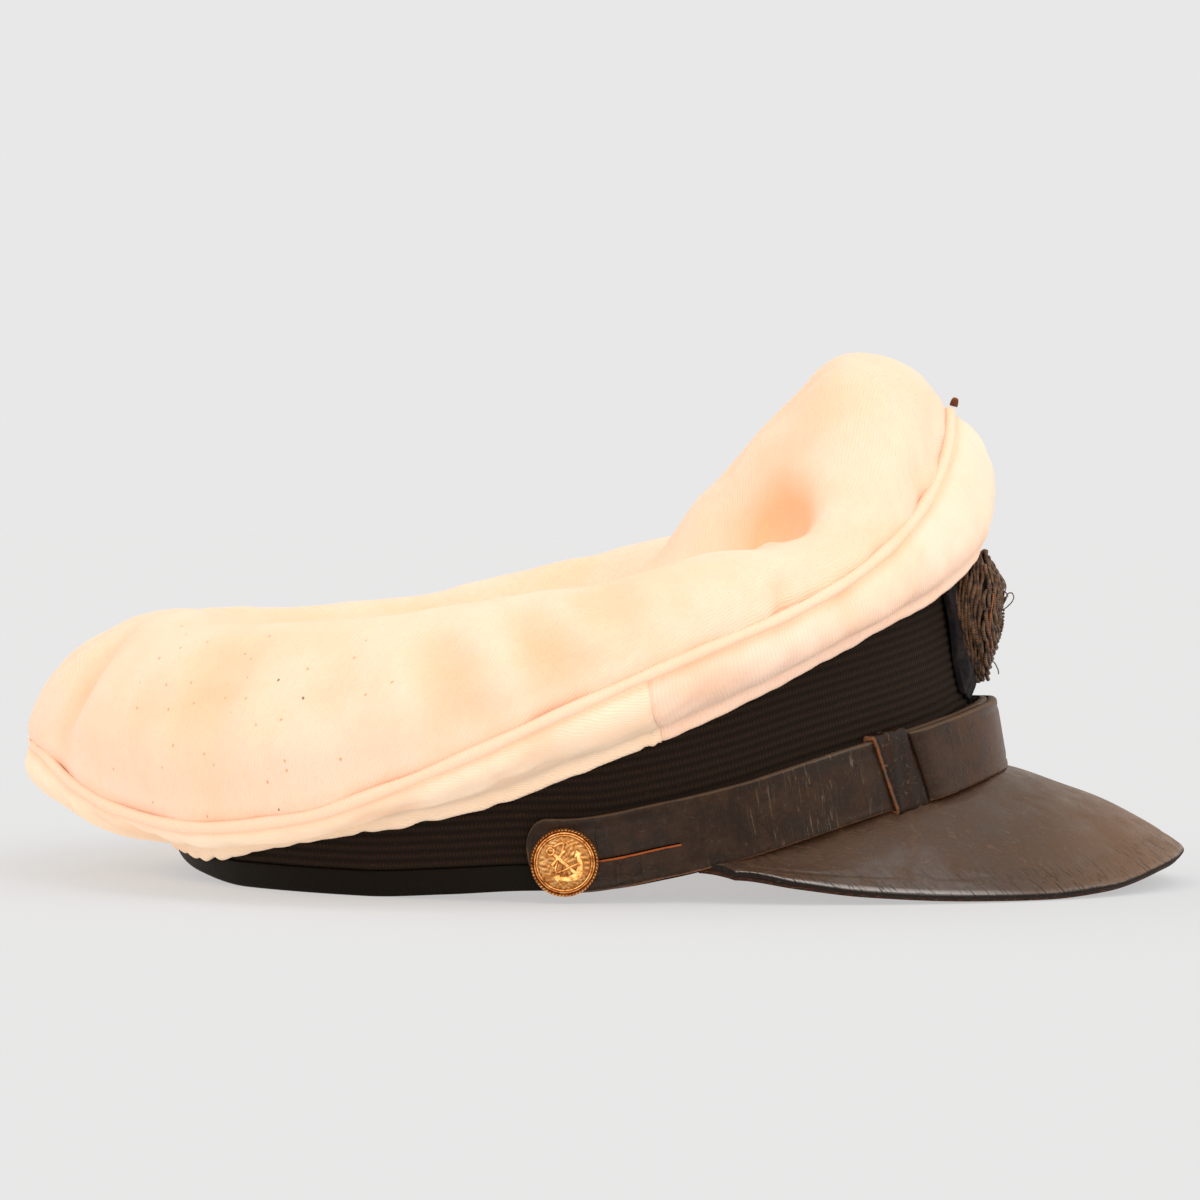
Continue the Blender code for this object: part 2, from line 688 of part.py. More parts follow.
def make_anchor(name, size, low, high, material):
    """An anchor plate that a Boolean joins to a button, left out of the finished part."""
    mesh = bmesh.new()
    verts = [mesh.verts.new((point.x, point.y, low)) for point in anchor_outline(size)]
    face = mesh.faces.new(verts)
    grown = bmesh.ops.extrude_face_region(mesh, geom=[face])
    top = [item for item in grown["geom"] if isinstance(item, bmesh.types.BMVert)]
    bmesh.ops.translate(mesh, verts=top, vec=(0, 0, high - low))
    bmesh.ops.recalc_face_normals(mesh, faces=mesh.faces[:])
    item = finish(name, material)
    mesh.to_mesh(item.data)
    mesh.free()
    item.hide_render = True
    item.display_type = "WIRE"
    return item


def make_button(name, side, half, brass):
    """A domed button with a raised rim, its shank through the strap to the band."""
    angle = side * BUTTON_ANGLE
    face = strap_face(angle, half)
    slit = STRAP_WIDTH / 2 - SLIT_DROP
    seat = strap_point(angle, slit, face + CLEARANCE)
    foot = strap_point(angle, slit, CLEARANCE)
    rim = BUTTON_RADIUS
    rise = BUTTON_HEIGHT
    profile = (
        (0, rise),
        (0.45 * rim, 0.92 * rise),
        (0.72 * rim, 0.62 * rise),
        (0.80 * rim, 0.72 * rise),
        (0.90 * rim, 0.78 * rise),
        (rim, 0.40 * rise),
        (0.96 * rim, 0),
        (SHANK_RADIUS, 0),
        (SHANK_RADIUS, -(foot - seat).length),
        (0, -(foot - seat).length),
    )
    item = finish(name, brass)
    edges = [(i, i + 1) for i in range(len(profile) - 1)]
    item.data.from_pydata([(x, 0, z) for x, z in profile], edges, [])
    screw = item.modifiers.new("Turned", "SCREW")
    screw.steps = 20
    screw.render_steps = 20
    screw.use_merge_vertices = True
    screw.merge_threshold = 1e-5
    screw.use_smooth_shade = True
    anchor = make_anchor(
        name + "_anchor", 0.66 * rim, 0.5 * rise, rise + ANCHOR_RELIEF, brass
    )
    join = item.modifiers.new("Anchor", "BOOLEAN")
    join.operation = "UNION"
    join.solver = "EXACT"
    join.object = anchor
    out = (seat - foot).normalized()
    turned = out.to_track_quat("Z", "Y").to_matrix().to_4x4()
    place = Matrix.Translation(seat) @ turned
    item.matrix_world = place
    anchor.matrix_world = place
    return item


def badge_point(across, up, out):
    """A point on the front of the band, across from its middle and up from the badge's foot."""
    angle = degrees(asin(across / BAND_B))
    return band_point(angle, BADGE_RISE + up, out)


def make_badge_backing(material):
    """A felt patch with round lower corners, its top under the cover's hem."""
    rows = []
    count = 12
    corner = 0.25 * BADGE_HEIGHT
    for i in range(count + 1):
        across = BADGE_WIDTH * (i / count - 0.5)
        inset = min(max(abs(across) - (BADGE_WIDTH / 2 - corner), 0) / corner, 1)
        low = corner * (1 - (1 - inset**2) ** 0.5) * 0.8
        steps = (0, 0.3, 0.65, 1)
        levels = [low + (BADGE_HEIGHT - low) * step for step in steps]
        rows.append([badge_point(across, up, CLEARANCE + BACKING_WALL) for up in levels])
    inside = Vector((BAND_X, 0, RIM_RISE + BAND_HEIGHT / 2))
    sheet("badge_backing", material, rows, BACKING_WALL, inside)


def leaf_height(x, y):
    """Relief of the wreath's leaves at a place on it, as a share of LEAF_RELIEF."""
    ring = hypot(x, y)
    branch = 1 - ((ring - 0.76) / 0.24) ** 2
    round_from_foot = degrees(acos(min(max(-y / max(ring, 0.01), -1), 1)))
    leaf = (round_from_foot / 30 - 1.2 * abs(ring - 0.76)) % 1
    return max(0.0, branch) ** 0.5 * (0.35 + 0.65 * leaf) if round_from_foot < 160 else 0.0


def wreath_point(x, y, out):
    """A point on the badge: x and y are shares of the wreath's half width and half height."""
    middle = BADGE_HEIGHT / 2
    return badge_point(x * WREATH_WIDTH / 2, middle + y * WREATH_HEIGHT / 2, out)


def pad_point(x, y):
    """A point on the front of the wreath's pad."""
    pad = read(PAD_ROWS, y).pad * WREATH_PAD * (1 - 0.5 * x**2)
    return wreath_point(x, y, 2 * CLEARANCE + BACKING_WALL + pad)


def make_badge(material):
    """The raised wreath and anchor on their pad, one body with a back that follows the felt."""
    stations = 44
    base = 2 * CLEARANCE + BACKING_WALL
    around = [radians(angle) for angle in even(-180, 180, stations)]
    loops = []
    for ring in (0.34, 0.67, 1.0):
        loops.append([wreath_point(ring * cos(turn), ring * sin(turn), base) for turn in around])
    for ring in (1.0, 0.90, 0.76, 0.62, 0.50, 0.38, 0.24, 0.10):
        loop = []
        for turn in around:
            x, y = ring * cos(turn), ring * sin(turn)
            out = (pad_point(x, y) - wreath_point(x, y, 0)).length
            loop.append(wreath_point(x, y, out + leaf_height(x, y) * LEAF_RELIEF))
        loops.append(loop)
    middles = wreath_point(0, 0, base), pad_point(0, 0)
    mesh = bmesh.new()
    rings = [[mesh.verts.new(point) for point in loop] for loop in loops]
    hubs = [mesh.verts.new(middle) for middle in middles]
    for i in range(stations):
        k = (i + 1) % stations
        for here, after in zip(rings, rings[1:]):
            mesh.faces.new((here[i], here[k], after[k], after[i]))
        mesh.faces.new((hubs[0], rings[0][i], rings[0][k]))
        mesh.faces.new((hubs[1], rings[-1][i], rings[-1][k]))
    bmesh.ops.recalc_face_normals(mesh, faces=mesh.faces[:])
    item = finish("badge", material)
    mesh.to_mesh(item.data)
    mesh.free()
    item.data.shade_smooth()
    reach = 0.45
    up = (pad_point(0, reach) - pad_point(0, -reach)).normalized()
    across = (pad_point(reach, 0) - pad_point(-reach, 0)).normalized()
    out = across.cross(up)
    size = reach * WREATH_HEIGHT / 2
    anchor = make_anchor("badge_anchor", size, -LEAF_RELIEF, LEAF_RELIEF, material)
    turned = Matrix((across, up, out)).transposed().to_4x4()
    anchor.matrix_world = Matrix.Translation(pad_point(0, 0)) @ turned
    join = item.modifiers.new("Anchor", "BOOLEAN")
    join.operation = "UNION"
    join.solver = "EXACT"
    join.object = anchor


def make_stay_tip(material):
    """The brown end of the front stay, standing out of the seam at the front."""
    seam = seam_point(0) + Vector((WELT_PROUD, 0, 0))
    up = (seam - belly_point(0)).normalized()
    lean = Vector((-up.z, 0, up.x)).normalized()
    out = Vector((0.25, 0, 1)).normalized()
    foot = seam + out * (WELT_RADIUS + CLEARANCE)
    wide = Vector((0, STAY_WIDTH / 2, 0))
    deep = out.cross(Vector((0, 1, 0))).normalized() * STAY_WALL / 2
    sections = []
    for length, size, shift in ((0, 1, 0), (0.6, 1.0, 0.1), (1, 0.55, 0.3)):
        centre = foot + out * length * STAY_LENGTH + lean * shift * STAY_WALL
        corners = (wide + deep, wide - deep, -wide - deep, -wide + deep)
        sections.append([centre + corner * size for corner in corners])
    swept("stay_tip", material, sections, ring=False)


def main():
    for item in list(bpy.data.objects):
        bpy.data.objects.remove(item, do_unlink=True)
    top = surface("cover cloth, top", (0.95, 0.86, 0.72), 0.9)
    side = surface("cover cloth, side", (0.93, 0.80, 0.62), 0.9)
    piping = surface("piping", (0.91, 0.78, 0.60), 0.85)
    ribbed = surface("ribbed band cloth", (0.020, 0.014, 0.011), 0.8)
    edging = surface("band edging", (0.014, 0.011, 0.010), 0.6)
    leather = surface("strap leather", (0.045, 0.032, 0.026), 0.45)
    worn = surface("keeper leather", (0.035, 0.022, 0.015), 0.5)
    peak = surface("peak leather", (0.050, 0.038, 0.030), 0.35)
    brass = surface("old brass", (0.62, 0.33, 0.12), 0.35, 1.0)
    felt = surface("badge felt", (0.012, 0.013, 0.020), 0.9)
    bullion = surface("tarnished bullion", (0.11, 0.06, 0.03), 0.6, 0.3)
    brown = surface("stay brown", (0.20, 0.10, 0.04), 0.7)
    make_crown_top(top)
    make_quarters(side)
    make_welt(piping)
    make_band(ribbed, edging)
    make_peak(peak)
    make_straps(leather)
    make_keeper("keeper_right", -1, "inner", worn)
    make_keeper("keeper_left", 1, "outer", worn)
    make_button("button_right", -1, "inner", brass)
    make_button("button_left", 1, "outer", brass)
    make_badge_backing(felt)
    make_badge(bullion)
    make_stay_tip(brown)


main()
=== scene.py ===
from math import cos, pi, radians, sin

import bpy
import numpy as np
from mathutils import Matrix, Vector


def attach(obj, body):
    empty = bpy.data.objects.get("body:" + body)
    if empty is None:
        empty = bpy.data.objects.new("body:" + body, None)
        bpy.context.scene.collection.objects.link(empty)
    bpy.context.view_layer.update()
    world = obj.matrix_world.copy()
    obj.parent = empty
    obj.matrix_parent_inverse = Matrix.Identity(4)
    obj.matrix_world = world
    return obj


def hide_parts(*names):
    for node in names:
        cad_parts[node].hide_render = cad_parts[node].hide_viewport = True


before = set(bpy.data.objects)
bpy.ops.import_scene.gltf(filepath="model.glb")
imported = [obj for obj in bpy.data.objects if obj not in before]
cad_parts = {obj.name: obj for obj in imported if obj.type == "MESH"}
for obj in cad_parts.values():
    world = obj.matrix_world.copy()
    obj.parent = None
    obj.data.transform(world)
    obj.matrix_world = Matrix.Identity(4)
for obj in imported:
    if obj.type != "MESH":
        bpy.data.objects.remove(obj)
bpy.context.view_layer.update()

cap = {
    "headLength": 0.205,
    "headWidth": 0.166,
    "bandWall": 0.0035,
    "bandHeight": 0.066,
    "bandLean": radians(10),
    "edgeHeight": 0.0066,
    "rimRise": 0.0298,
    "gap": 0.0003,
    "crownHeight": 0.1398,
    "frontOverhang": -0.0085,
    "backOverhang": 0.0383,
    "sideOverhang": 0.0335,
    "coverWall": 0.0018,
    "weltRadius": 0.0016,
    "weltProud": 0.0004,
    "hemStand": 0.0076,
    "hemLip": 0.004,
    "peakLength": 0.0545,
}
bandA = cap["headLength"] / 2 + cap["bandWall"]
bandB = cap["headWidth"] / 2 + cap["bandWall"]
backReach = bandA + cap["backOverhang"] + cap["weltRadius"] + cap["weltProud"]
frontReach = bandA + cap["peakLength"]
bandX = (backReach - frontReach) / 2
seamFront = bandX + bandA + cap["frontOverhang"]
seamBack = bandX - bandA - cap["backOverhang"]
seamX = (seamFront + seamBack) / 2
seamA = (seamFront - seamBack) / 2
seamB = bandB + cap["sideOverhang"]

# Crown sections by angle round from the front, in thousandths: the basin's height, then slope, crest and
# side as share out and height, then the seam's height.
centreHeight, basinShare = 0.405, 0.34
frontSection = (0, 600, 550, 812, 800, 995, 910, 965, 885)
backSection = (180, 396, 540, 432, 650, 488, 990, 320, 247)
rightSections = (
    (10, 588, 550, 790, 800, 978, 920, 935, 820),
    (20, 552, 550, 690, 800, 885, 930, 840, 735),
    (30, 506, 560, 585, 800, 755, 930, 735, 655),
    (40, 468, 570, 515, 790, 660, 940, 650, 585),
    (50, 440, 590, 470, 790, 622, 960, 595, 525),
    (65, 414, 600, 448, 780, 590, 980, 535, 445),
    (80, 399, 610, 425, 780, 550, 1000, 465, 350),
    (90, 392, 610, 412, 780, 525, 1010, 415, 280),
    (100, 385, 610, 404, 780, 505, 1015, 355, 215),
    (112, 385, 610, 400, 780, 487, 1020, 305, 155),
    (126, 386, 600, 402, 770, 486, 1020, 280, 131),
    (138, 388, 580, 412, 750, 494, 1010, 295, 149),
    (150, 391, 560, 422, 730, 502, 990, 305, 189),
    (163, 394, 550, 430, 670, 493, 990, 304, 236),
)
leftSections = (
    (10, 588, 550, 785, 800, 975, 920, 930, 820),
    (20, 552, 550, 685, 800, 880, 930, 835, 740),
    (30, 508, 560, 595, 800, 765, 930, 745, 665),
    (40, 472, 570, 530, 790, 690, 940, 670, 595),
    (50, 444, 590, 488, 790, 660, 960, 615, 535),
    (65, 416, 600, 465, 780, 620, 980, 555, 460),
    (80, 400, 610, 442, 780, 575, 1000, 485, 375),
    (100, 386, 610, 415, 780, 523, 1015, 385, 250),
    (112, 385, 610, 408, 780, 502, 1020, 335, 195),
    (126, 386, 600, 405, 770, 486, 1020, 305, 165),
    (138, 388, 580, 411, 750, 486, 1010, 305, 173),
    (150, 391, 560, 420, 730, 487, 990, 315, 205),
    (163, 394, 550, 426, 670, 486, 990, 308, 239),
)


def turned(rows, sign, shift=0):
    return [(sign * row[0] + shift, *row[1:]) for row in rows]


sections = turned(leftSections[-1:], 1, -360) + turned([backSection], -1) + turned(rightSections[::-1], -1)
sections += [frontSection, *leftSections, backSection] + turned(rightSections[-1:], -1, 360)
sections = np.array(sections, float) / ([1] + [1000] * 8)

# Side panels: how far they swing out and hang below the seam, as shares of the side overhang.
bellies = (
    (0, 0.54, 0.50), (30, 0.27, 0.48), (60, 0.12, 0.42), (90, 0.03, 0.30),
    (130, 0.03, 0.24), (150, 0.05, 0.40), (165, 0.18, 0.54), (180, 0.22, 0.60),
)  # fmt: skip
sideSeamAngle = 70.5
hemLead = 5.4

# Band by angle: lower rim, cover's hem, band's top, how far the hem stands off.
bandRows = (
    (0, 1.000, 0.880, 1.00, 1.00), (15, 0.955, 0.830, 0.98, 0.94), (26, 0.870, 0.752, 0.93, 0.50),
    (41, 0.725, 0.678, 0.85, 0.04), (55, 0.550, 0.605, 0.78, 0.00), (68, 0.335, 0.548, 0.72, 0.00),
    (77, 0.205, 0.505, 0.69, 0.00), (87, 0.105, 0.441, 0.66, 0.00), (97, 0.090, 0.336, 0.64, 0.00),
    (107, 0.045, 0.277, 0.62, 0.00), (120, 0.000, 0.227, 0.61, 0.00), (131, 0.000, 0.177, 0.60, 0.00),
    (142, 0.000, 0.122, 0.60, 0.00), (157, 0.075, 0.062, 0.60, 0.00), (180, 0.225, 0.048, 0.60, 0.00),
)  # fmt: skip


# Places on the cap


def readTable(rows, at):  # smooth values between a table's rows, never past them
    table = np.array(rows, float)
    keys, values = table[:, 0], table[:, 1:]
    chords = np.diff(values, axis=0) / np.diff(keys)[:, None]
    left, right = chords[:-1], chords[1:]
    same = left * right > 0
    slopes = np.zeros_like(values)
    slopes[1:-1] = np.where(same, 2 * left * right / np.where(same, left + right, 1), 0)
    at = np.asarray(at, float)
    low = np.clip(np.searchsorted(keys, at, side="right") - 1, 0, len(keys) - 2)
    span = (keys[low + 1] - keys[low])[..., None]
    part = (at - keys[low])[..., None] / span
    start = values[low] * (1 + 2 * part) + slopes[low] * span * part
    end = values[low + 1] * (3 - 2 * part) + slopes[low + 1] * span * (part - 1)
    return start * (1 - part) ** 2 + end * part**2


def xyz(x, y, z):
    return np.stack(np.broadcast_arrays(x, y, z), -1).astype(float)


def bandPoint(angle, rise, out):  # on the band: angle round, height up its face, distance off it
    turn = np.radians(angle)
    rim = readTable(bandRows, np.abs(angle))[..., 0] * cap["rimRise"]
    x = bandX + (bandA + out) * np.cos(turn) - rise * sin(cap["bandLean"])
    return xyz(x, (bandB + out) * np.sin(turn), rim + rise * cos(cap["bandLean"]))


def crownPoint(angle, share, height):
    turn = np.radians(angle)
    return xyz(seamX + seamA * share * np.cos(turn), seamB * share * np.sin(turn), height * cap["crownHeight"])


def seamPoint(angle):
    return crownPoint(angle, 1, readTable(sections, angle)[..., -1])


def bellyPoint(angle):
    out, down = readTable(bellies, np.abs(angle)).T * cap["sideOverhang"]
    turn = np.radians(angle)
    return seamPoint(angle) + xyz(np.cos(turn) * out, np.sin(turn) * out, -down)


def unit(vectors):
    return vectors / np.maximum(np.linalg.norm(vectors, axis=-1, keepdims=True), 1e-12)


def bezier(a, b, c, d, steps):
    t = np.asarray(steps)[None, :, None]
    a, b, c, d = (x[:, None] for x in (a, b, c, d))
    return a * (1 - t) ** 3 + 3 * b * t * (1 - t) ** 2 + 3 * c * t**2 * (1 - t) + d * t**3


def smoothLines(points, before, after, steps=14):
    ends = np.concatenate([before[:, None], points, after[:, None]], 1)
    span = np.linalg.norm(np.diff(ends, axis=1), axis=2, keepdims=True)
    way = np.diff(ends, axis=1) / span
    lean = unit(way[:, 1:] * span[:, :-1] ** 0.5 + way[:, :-1] * span[:, 1:] ** 0.5)
    lines = [points[:, :1]]
    for i in range(points.shape[1] - 1):
        a, d, reach = points[:, i], points[:, i + 1], span[:, i + 1] / 3
        between = np.arange(1, steps + 1) / steps
        lines.append(bezier(a, a + lean[:, i] * reach, d - lean[:, i + 1] * reach, d, between))
    return np.concatenate(lines, 1)


def lengthGone(lines):  # how far each point lies along its line
    steps = np.linalg.norm(np.diff(lines, axis=-2), axis=-1)
    return np.concatenate([np.zeros_like(steps[..., :1]), np.cumsum(steps, -1)], -1)


def resample(lines, shares, skipStart=0.0, skipEnd=0.0):
    lengths = lengthGone(lines)
    want = skipStart + np.asarray(shares)[None] * (lengths[:, -1:] - skipStart - skipEnd)
    found = [[np.interp(w, l, p[:, k]) for k in range(3)] for w, l, p in zip(want, lengths, lines)]
    return np.array(found).transpose(0, 2, 1), lengths[:, -1]


def crownLines(angle):
    basin, slopeAt, slope, crestAt, crest, sideAt, side, seam = readTable(sections, angle).T
    flat = np.ones_like(seam)
    share = np.stack([0 * flat, basinShare * flat, slopeAt, crestAt, sideAt, flat], 1)
    height = np.stack([centreHeight * flat, basin, slope, crest, side, seam], 1)
    points = crownPoint(angle[:, None], share, height)
    return smoothLines(points, crownPoint(angle, -basinShare, basin), bellyPoint(angle))


def sideLines(angle):
    at = np.clip(angle + hemLead * np.sin(np.radians(angle)), -180, 180)
    row = readTable(bandRows, np.abs(at))
    out = cap["gap"] + cap["coverWall"] + row[:, 3] * cap["hemStand"]
    seam, belly = seamPoint(angle), bellyPoint(angle)
    lip = bandPoint(at, row[:, 1] * cap["bandHeight"] + cap["hemLip"], out + cap["coverWall"] / 2)
    hem = bandPoint(at, row[:, 1] * cap["bandHeight"], out)
    curve = bezier(seam, seam + (belly - seam) * 2 / 3, lip + (belly - lip) * 2 / 3, lip, np.linspace(0, 1, 26))
    return np.concatenate([curve, hem[:, None]], 1)


def softNoise(points, size, seed, height=1.0):  # seeded smooth bumps of about this size, to twice their height
    rng = np.random.default_rng(seed)
    total, waves = 0.0, 22
    for _ in range(waves):
        way = unit(rng.normal(size=3)) * 2 * pi / (size * rng.uniform(0.8, 2.2))
        total = total + np.sin(points @ way + rng.uniform(0, 2 * pi))
    return total * (2 / waves) ** 0.5 * height


def mound(gap, width):  # a round rise, one in the middle and nothing past its width
    return np.where(np.abs(gap) < width, (1 - np.minimum(np.abs(gap / width), 1) ** 2) ** 2, 0)


def bell(gap, width):  # one in the middle, fading without an end
    return np.exp(-((gap / width) ** 2))


def ramp(value, low, high):
    return np.clip((value - low) / (high - low), 0, 1)


def pairs(first, second):
    return np.stack(np.meshgrid(first, second, indexing="ij"), -1)


# Meshes


def gridNormals(points, closed, away):
    if closed:
        around = np.roll(points, -1, 0) - np.roll(points, 1, 0)
    else:
        around = np.gradient(points, axis=0)
    normals = unit(np.cross(np.gradient(points, axis=1), around))
    if ((points - np.asarray(away)) * normals).sum() < 0:
        normals = -normals
    return normals


def addThing(name, data):
    made = bpy.data.objects.new(name, data)
    bpy.context.scene.collection.objects.link(made)
    return made


def makeMesh(name, points, faces, uv, marks, material, smooth=True):
    mesh = bpy.data.meshes.new(name)
    mesh.from_pydata(np.asarray(points).tolist(), [], faces)
    layer = mesh.uv_layers.new(name="cloth")
    layer.data.foreach_set("uv", np.asarray(uv, np.float32).ravel())
    for key, values in marks.items():
        mesh.attributes.new(key, "FLOAT", "POINT").data.foreach_set("value", np.asarray(values, np.float32).ravel())
    mesh.materials.append(material)
    mesh.shade_smooth() if smooth else mesh.shade_flat()
    return addThing(name, mesh)


def makeSheet(name, front, uv, material, back=None, closed=False, loop=False, keep=None, hub=None, marks=None):
    rows, across = front.shape[:2]
    wide, count = across + loop, rows * across
    i, j = np.meshgrid(np.arange(rows - 1 + closed), np.arange(across - 1 + loop), indexing="ij")
    corners = np.stack([i * wide + j, (i + 1) * wide + j, (i + 1) * wide + j + 1, i * wide + j + 1], -1)
    corners = (corners if keep is None else corners[keep]).reshape(-1, 4)
    verts = (corners // wide) % rows * across + corners % wide % across
    spots = uv.reshape(-1, 2)
    points, faces, uvs = [front.reshape(-1, 3)], verts.tolist(), [spots[corners.ravel()]]
    marks = {key: [np.broadcast_to(value, (rows, across)).ravel()] for key, value in (marks or {}).items()}
    if back is not None:  # the other side and the rim that joins them
        points.append(back.reshape(-1, 3))
        faces += (verts[:, ::-1] + count).tolist()
        uvs.append(spots[corners[:, ::-1].ravel()])
        ends = np.stack([verts, np.roll(verts, -1, 1)], -1).reshape(-1, 2)
        key, first, seen = np.unique(np.sort(ends, 1), axis=0, return_index=True, return_counts=True)
        rim = first[(seen == 1) & (key[:, 0] != key[:, 1])]
        if hub is not None:
            rim = rim[~((ends[rim] % across) == 0).all(1)]
        a, b = ends[rim].T
        faces += np.stack([b, a, a + count, b + count], 1).tolist()
        a, b = np.stack([corners, np.roll(corners, -1, 1)], -1).reshape(-1, 2)[rim].T
        uvs.append(spots[np.stack([b, a, a, b], 1).ravel()])
        for value in marks.values():
            value.append(value[0])
    if hub is not None:  # a fan that closes the middle
        ring = np.arange(rows)
        start, inner = sum(len(p) for p in points), uv[:, 0]
        for side, centre in enumerate(hub):
            edge = [ring * across + side * count, (ring + 1) % rows * across + side * count]
            pair = [inner[:rows], inner[(ring + 1) % len(inner)]]
            way = 1 if side else -1
            faces += np.stack([0 * ring + start + side, *edge[::way]], 1).tolist()
            uvs.append(np.stack([0 * pair[0], *pair[::way]], 1).reshape(-1, 2))
            points.append(np.asarray(centre, float)[None])
            for value in marks.values():
                value.append(value[0][:1])
    marks = {key: np.concatenate(value) for key, value in marks.items()}
    return makeMesh(name, np.concatenate(points), faces, np.concatenate(uvs), marks, material)


def makeTubes(name, lines, radii, material, sides=6):  # round strands along lines, tapering as radii say
    points, faces, uvs, start = [], [], [], 0
    turn = (np.arange(sides) * 2 * pi / sides)[:, None]
    for line, radius in zip(lines, radii):
        line = np.asarray(line, float)
        radius = np.broadcast_to(np.asarray(radius, float), len(line))
        along = unit(np.gradient(line, axis=0))
        side = np.cross(along[0], (0, 0, 1) if abs(along[0][2]) < 0.9 else (1, 0, 0))
        for spot, way, size in zip(line, along, radius):
            side = unit(side - way * (side @ way))
            points.append(spot + size * (np.cos(turn) * side + np.sin(turn) * np.cross(way, side)))
        gone = lengthGone(line) * 1000
        for i in range(len(line) - 1):
            for j in range(sides):
                k, here = (j + 1) % sides, start + i * sides
                faces.append([here + j, here + k, here + sides + k, here + sides + j])
                uvs += [(gone[i], j), (gone[i], j + 1), (gone[i + 1], j + 1), (gone[i + 1], j)]
        last = start + (len(line) - 1) * sides
        faces += [[start + j for j in reversed(range(sides))], [last + j for j in range(sides)]]
        uvs += [(gone[end], j) for end in (0, -1) for j in range(sides)]
        start = last + sides
    return makeMesh(name, np.concatenate(points), faces, uvs, {}, material)


def dress(piece, slot, *nodes):
    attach(piece, "root")
    if nodes:
        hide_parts(*nodes)
    return piece


# Nodes and what the materials share


def srgb(*levels):
    return tuple(((c / 255 + 0.055) / 1.055) ** 2.4 if c > 10 else c / 255 / 12.92 for c in levels) + (1.0,)


class Wire:  # a node's output; sums with it add Math nodes
    def __init__(self, node, output=0):
        self.socket, self.tree = node.outputs[output], node.id_data

    def __mul__(self, other):
        return calc("MULTIPLY", self, other)

    def __add__(self, other):
        return calc("ADD", self, other)

    def __sub__(self, other):
        return calc("SUBTRACT", self, other)

    def __rsub__(self, other):
        return calc("SUBTRACT", other, self)


def feed(node, feeds):  # wires are linked, anything else is set on the socket itself
    for key, value in feeds.items():
        if isinstance(value, Wire):
            node.id_data.links.new(value.socket, node.inputs[key])
        else:
            node.inputs[key].default_value = value


def put(tree, kind, feeds=(), **settings):
    made = tree.nodes.new("ShaderNode" + kind)
    for key, value in settings.items():
        setattr(made, key, value)
    feed(made, feeds if isinstance(feeds, dict) else dict(enumerate(feeds)))
    return made


def join(kind, feeds, output=0, **settings):  # a node in the tree of whichever wire feeds it
    values = feeds.values() if isinstance(feeds, dict) else feeds
    tree = next(value.tree for value in values if isinstance(value, Wire))
    return Wire(put(tree, kind, feeds, **settings), output)


def calc(operation, *feeds):
    return join("Math", feeds, operation=operation)


def vector(operation, *feeds, **named):
    return join("VectorMath", dict(enumerate(feeds)) | named, operation=operation)


def split(wire, kind="SeparateXYZ"):
    node = put(wire.tree, kind, (wire,))
    return [Wire(node, part) for part in range(3)]


def between(value, low, high, start=0.0, end=1.0):
    return join("MapRange", (value, low, high, start, end), interpolation_type="SMOOTHSTEP")


def paintOver(colour, *coats):  # coats of (mask, colour), one over another
    for mask, tint in coats:
        feeds = {0: mask, 6: colour, 7: tint}
        colour = join("Mix", feeds, 2, data_type="RGBA", clamp_factor=True)
    return colour


def noiseOf(coords, scale, detail=3.0, roughness=0.55, distortion=0.0, output=0):
    feeds = {"Vector": coords, "Scale": scale, "Detail": detail, "Roughness": roughness, "Distortion": distortion}
    return join("TexNoise", feeds, output)


def stretched(coords, size, turn=0.0):
    return join("Mapping", {"Vector": coords, "Rotation": (0, 0, turn), "Scale": size})


def astray(coords, scale, detail, reach):  # the same coordinates, wandering
    return vector("ADD", coords, vector("SCALE", noiseOf(coords, scale, detail, output=1), Scale=reach))


def makeGroup(name, build, **inputs):
    tree = bpy.data.node_groups.new(name, "ShaderNodeTree")
    for label, value in inputs.items():
        kind = "NodeSocketFloat" if isinstance(value, float) else "NodeSocketVector"
        made = tree.interface.new_socket(name=label, in_out="INPUT", socket_type=kind)
        if value is not None:
            made.default_value = value
    given = tree.nodes.new("NodeGroupInput")
    results = build(*[Wire(given, label) for label in inputs])
    for label in results:
        tree.interface.new_socket(name=label, in_out="OUTPUT", socket_type="NodeSocketFloat")
    feed(tree.nodes.new("NodeGroupOutput"), results)
    return tree


def useGroup(group, **feeds):
    made = put(feeds["Coords"].tree, "Group", feeds, node_tree=group)
    return {socket.name: Wire(made, socket.name) for socket in made.outputs}


def buildWeave(coords, pitch, turn, slack):  # twill or plain cloth: lines a pitch apart, crossed by finer thread
    drift = vector("SUBTRACT", noiseOf(coords, 0.12, 2.0, output=1), (0.5, 0.5, 0.5))
    moved = vector("ADD", coords, vector("SCALE", drift, Scale=slack))
    moved = join("VectorRotate", {"Vector": moved, "Angle": turn}, rotation_type="Z_AXIS")
    x, y, _ = split(moved)
    rate = calc("DIVIDE", 2 * pi, pitch)
    line = calc("SINE", x * rate)
    cross = calc("SINE", (y + x * 0.5) * (rate * 2.1))
    height = (line * 0.32 + 0.5 + cross * 0.14) * (noiseOf(moved, 0.55, 2.0) * 0.8 + 0.6)
    return {"Height": height, "Line": line * 0.5 + 0.5}


